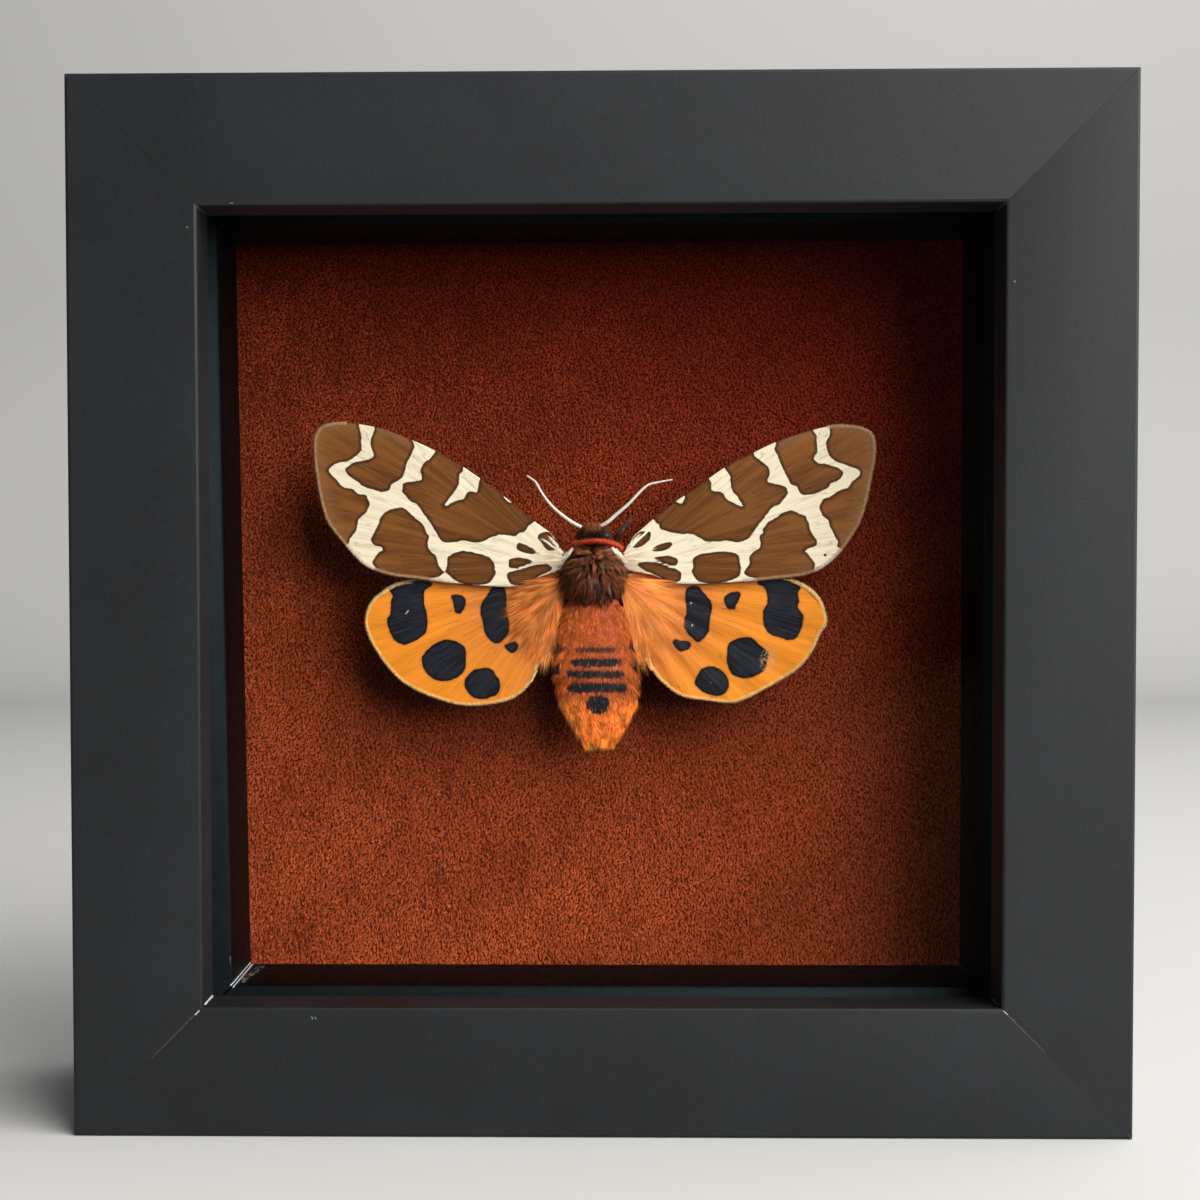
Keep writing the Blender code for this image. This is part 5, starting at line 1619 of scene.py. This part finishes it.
long_fur = fur_finish(
    "wing_base_fur", (0.72, 0.195, 0.032), (0.98, 0.400, 0.070), (0.85, 0.36, 0.11), (1.00, 0.64, 0.28)
)
for side, name in ((-1, "left"), (1, "right")):
    roots, rises, ways, lengths, tone = base_hairs(side)
    pale = (chance.uniform(0, 1, len(roots)) < 0.22).astype(float)
    mesh = hair_mesh(
        "base_hairs_" + name, roots, rises, ways, lengths, 0.048,
        tone * tones(len(roots), 0.15), pale,
    )
    long_hairs = add_piece(mesh, long_fur)
    long_hairs.visible_shadow = False
print("wing-base hairs:", 2 * BASE_HAIRS)

# %% Fringes of the wings
FRINGE_STEP = 0.022


def fringe_of(name, first, last):
    """Short hairs across the wing's margin, between two of its outline points."""
    kind = name.split("_")[0]
    outline = smooth_loop(OUTLINES[name], 12)[12 * first:12 * last]
    steps = np.linalg.norm(np.diff(outline, axis=0), axis=1)
    along = np.concatenate([[0.0], np.cumsum(steps)])
    at = np.repeat(np.arange(0.0, along[-1], FRINGE_STEP), 2)
    at = at + chance.uniform(-0.5, 0.5, len(at)) * FRINGE_STEP
    flat = np.stack([np.interp(at, along, outline[:, axis]) for axis in (0, 1)], axis=1)
    ahead = np.stack([np.interp(at + 0.3, along, outline[:, axis]) for axis in (0, 1)], axis=1)
    behind = np.stack([np.interp(at - 0.3, along, outline[:, axis]) for axis in (0, 1)], axis=1)
    way = unit(ahead - behind)
    middle = outline.mean(axis=0)
    outward = np.stack([way[:, 1], -way[:, 0]], axis=1)
    hub = np.array([BODY_X, 5.0])
    facing = np.sum(outward * (middle - hub), axis=1) + np.sum(outward * (flat - middle), axis=1)
    outward *= np.sign(facing)[:, None]
    depth = chance.uniform(0.08, 0.34, len(at))[:, None]
    feet = flat - outward * depth
    surface = WING_PLANES[kind] + wing_bend(feet[:, 0], feet[:, 1]) - 0.03
    roots = np.stack([feet[:, 0], surface, feet[:, 1]], axis=1)
    ways = np.stack([outward[:, 0], np.full(len(at), -0.06), outward[:, 1]], axis=1)
    ways += chance.normal(0, 0.10, ways.shape)
    patch = np.min([outside_by(feet, smooth_loop(p, 3)) for p in PATCHES[name]], axis=0)
    lengths = depth[:, 0] + chance.uniform(0.0, 0.30, len(at))
    return hair_mesh(
        name + "_fringe", roots, ways + np.array([0.0, -0.15, 0.0]), ways, lengths, 0.06,
        tones(len(at), 0.16), (patch < 0.0).astype(float),
    )


brown_fringe = fur_finish(
    "forewing_fringe", (0.74, 0.62, 0.44), (0.92, 0.84, 0.66), (0.34, 0.17, 0.065), (0.74, 0.50, 0.28)
)
gold_fringe = fur_finish(
    "hindwing_fringe", (0.95, 0.52, 0.14), (1.00, 0.76, 0.36), (0.60, 0.34, 0.12), (0.80, 0.58, 0.28)
)
for name, first, last in (
    ("forewing_left", 8, 21), ("forewing_right", 9, 23),
    ("hindwing_left", 4, 20), ("hindwing_right", 5, 21),
):
    fringe = brown_fringe if name.startswith("forewing") else gold_fringe
    mesh = fringe_of(name, first, last)
    add_piece(mesh, fringe)
    print(name, "fringe triangles:", len(mesh.polygons))

# %% [markdown]
# ## Antennae and legs
#
# An antenna is a thread of some fifty short joints, pale above, that thins towards its end. The
# legs are thin jointed stalks with short dark hairs. Only one foreleg shows from the front, beside
# the head, and the others are folded under the body.

# %% Antennae
def smooth_line(points, steps):
    """An open smooth curve through the points."""
    points = np.array(points, float)
    ends = np.concatenate([[2 * points[0] - points[1]], points, [2 * points[-1] - points[-2]]])
    p0, p1, p2, p3 = (ends[i:len(ends) - 3 + i, None, :] for i in range(4))
    t = (np.arange(steps) / steps)[None, :, None]
    curve = 0.5 * (
        2 * p1
        + (p2 - p0) * t
        + (2 * p0 - 5 * p1 + 4 * p2 - p3) * t**2
        + (3 * p1 - p0 - 3 * p2 + p3) * t**3
    )
    return np.concatenate([curve.reshape(-1, points.shape[1]), points[-1:]])


ANTENNAE = {
    "antenna_left": [
        (-2.25, -2.9, 9.85), (-3.6, -3.1, 10.6), (-5.05, -3.2, 11.7), (-6.0, -3.2, 12.6),
        (-7.0, -3.1, 13.9), (-7.85, -3.0, 15.35), (-8.3, -2.9, 15.8), (-9.0, -2.8, 16.3),
    ],
    "antenna_right": [
        (0.1, -2.9, 9.95), (1.05, -3.1, 10.5), (2.0, -3.2, 11.35), (3.1, -3.3, 12.25),
        (4.05, -3.3, 13.15), (5.0, -3.2, 14.2), (5.85, -3.1, 14.95), (6.5, -3.0, 15.25),
        (7.7, -2.9, 15.5), (9.1, -2.8, 15.75),
    ],
}
ANTENNA_THICK, ANTENNA_TIP = 0.50, 0.40

ivory = Finish("antenna_ivory", Roughness=0.55)
place = ivory.place()
ivory_mottle = ivory.noise(place, 5.0, 2.0, 0.6)
ivory.set(
    "Base Color", ivory.blend(ivory.rise(ivory_mottle, 0.4, 0.65), (0.92, 0.85, 0.73), (0.66, 0.56, 0.43))
)
for name, points in ANTENNAE.items():
    path = smooth_line(points, 14)
    share = np.linspace(0, 1, len(path))
    joints = 1.0 + 0.10 * np.cos(2 * math.pi * share * len(path) / 2)
    radii = ANTENNA_THICK / 2 * (1 - (1 - ANTENNA_TIP) * share) * joints
    bm = bmesh.new()
    tube(bm, path, radii, 8)
    add_piece(mesh_from(bm, name + "_joints"), ivory, [name])
print("antennae:", ", ".join(ANTENNAE))

# %% Legs
LEG_THICK, LEG_TIP = 0.60, 0.5
middle_leg = [(1.3, 1.3, 4.0), (2.8, 1.6, 3.0), (3.4, 2.0, 0.5), (3.6, 2.3, -2.2)]
hind_leg = [(1.0, 1.3, 2.4), (2.0, 1.9, 0.2), (1.8, 2.4, -3.5), (1.3, 2.6, -6.5)]
LEGS = {
    "foreleg_right": [
        (0.9, 1.3, 5.6), (2.2, 0.5, 7.4), (2.15, -1.3, 8.7), (2.85, -2.2, 9.7), (4.0, -2.5, 10.95)
    ],
    "foreleg_left": [(-1.9, 1.3, 5.6), (-2.9, 1.4, 6.8), (-2.6, 1.5, 8.0), (-1.6, 1.5, 8.5)],
}
for side, end in ((-1, "left"), (1, "right")):
    LEGS["middle_leg_" + end] = [(BODY_X + side * x, y, z) for x, y, z in middle_leg]
    LEGS["hind_leg_" + end] = [(BODY_X + side * x, y, z) for x, y, z in hind_leg]

leg_skin = Finish("leg_skin", Base_Color=(0.050, 0.040, 0.036), Roughness=0.5)
leg_fur = fur_finish(
    "leg_fur", (0.030, 0.026, 0.026), (0.13, 0.12, 0.12), (0.20, 0.19, 0.19), (0.42, 0.40, 0.40)
)
leg_roots, leg_outs, leg_ways = [], [], []
for name, points in LEGS.items():
    path = smooth_line(points, 8)
    share = np.linspace(0, 1, len(path))
    radii = LEG_THICK / 2 * (1 - (1 - LEG_TIP) * share)
    bm = bmesh.new()
    tube(bm, path, radii, 8)
    add_piece(mesh_from(bm, name + "_stalk"), leg_skin, [name])
    places, ways = strand_roots(path, 230, 0.02)
    outs = unit(np.cross(ways, chance.normal(size=ways.shape)))
    leg_roots.append(places + outs * 0.1)
    leg_outs.append(outs)
    leg_ways.append(ways)
roots, outs, ways = map(np.concatenate, (leg_roots, leg_outs, leg_ways))
mesh = hair_mesh(
    "leg_hairs", roots, outs + ways, ways + 0.35 * outs, chance.uniform(0.3, 0.55, len(roots)),
    0.045, tones(len(roots)), (chance.uniform(0, 1, len(roots)) < 0.1).astype(float),
)
add_piece(mesh, leg_fur)
print("legs:", len(LEGS))
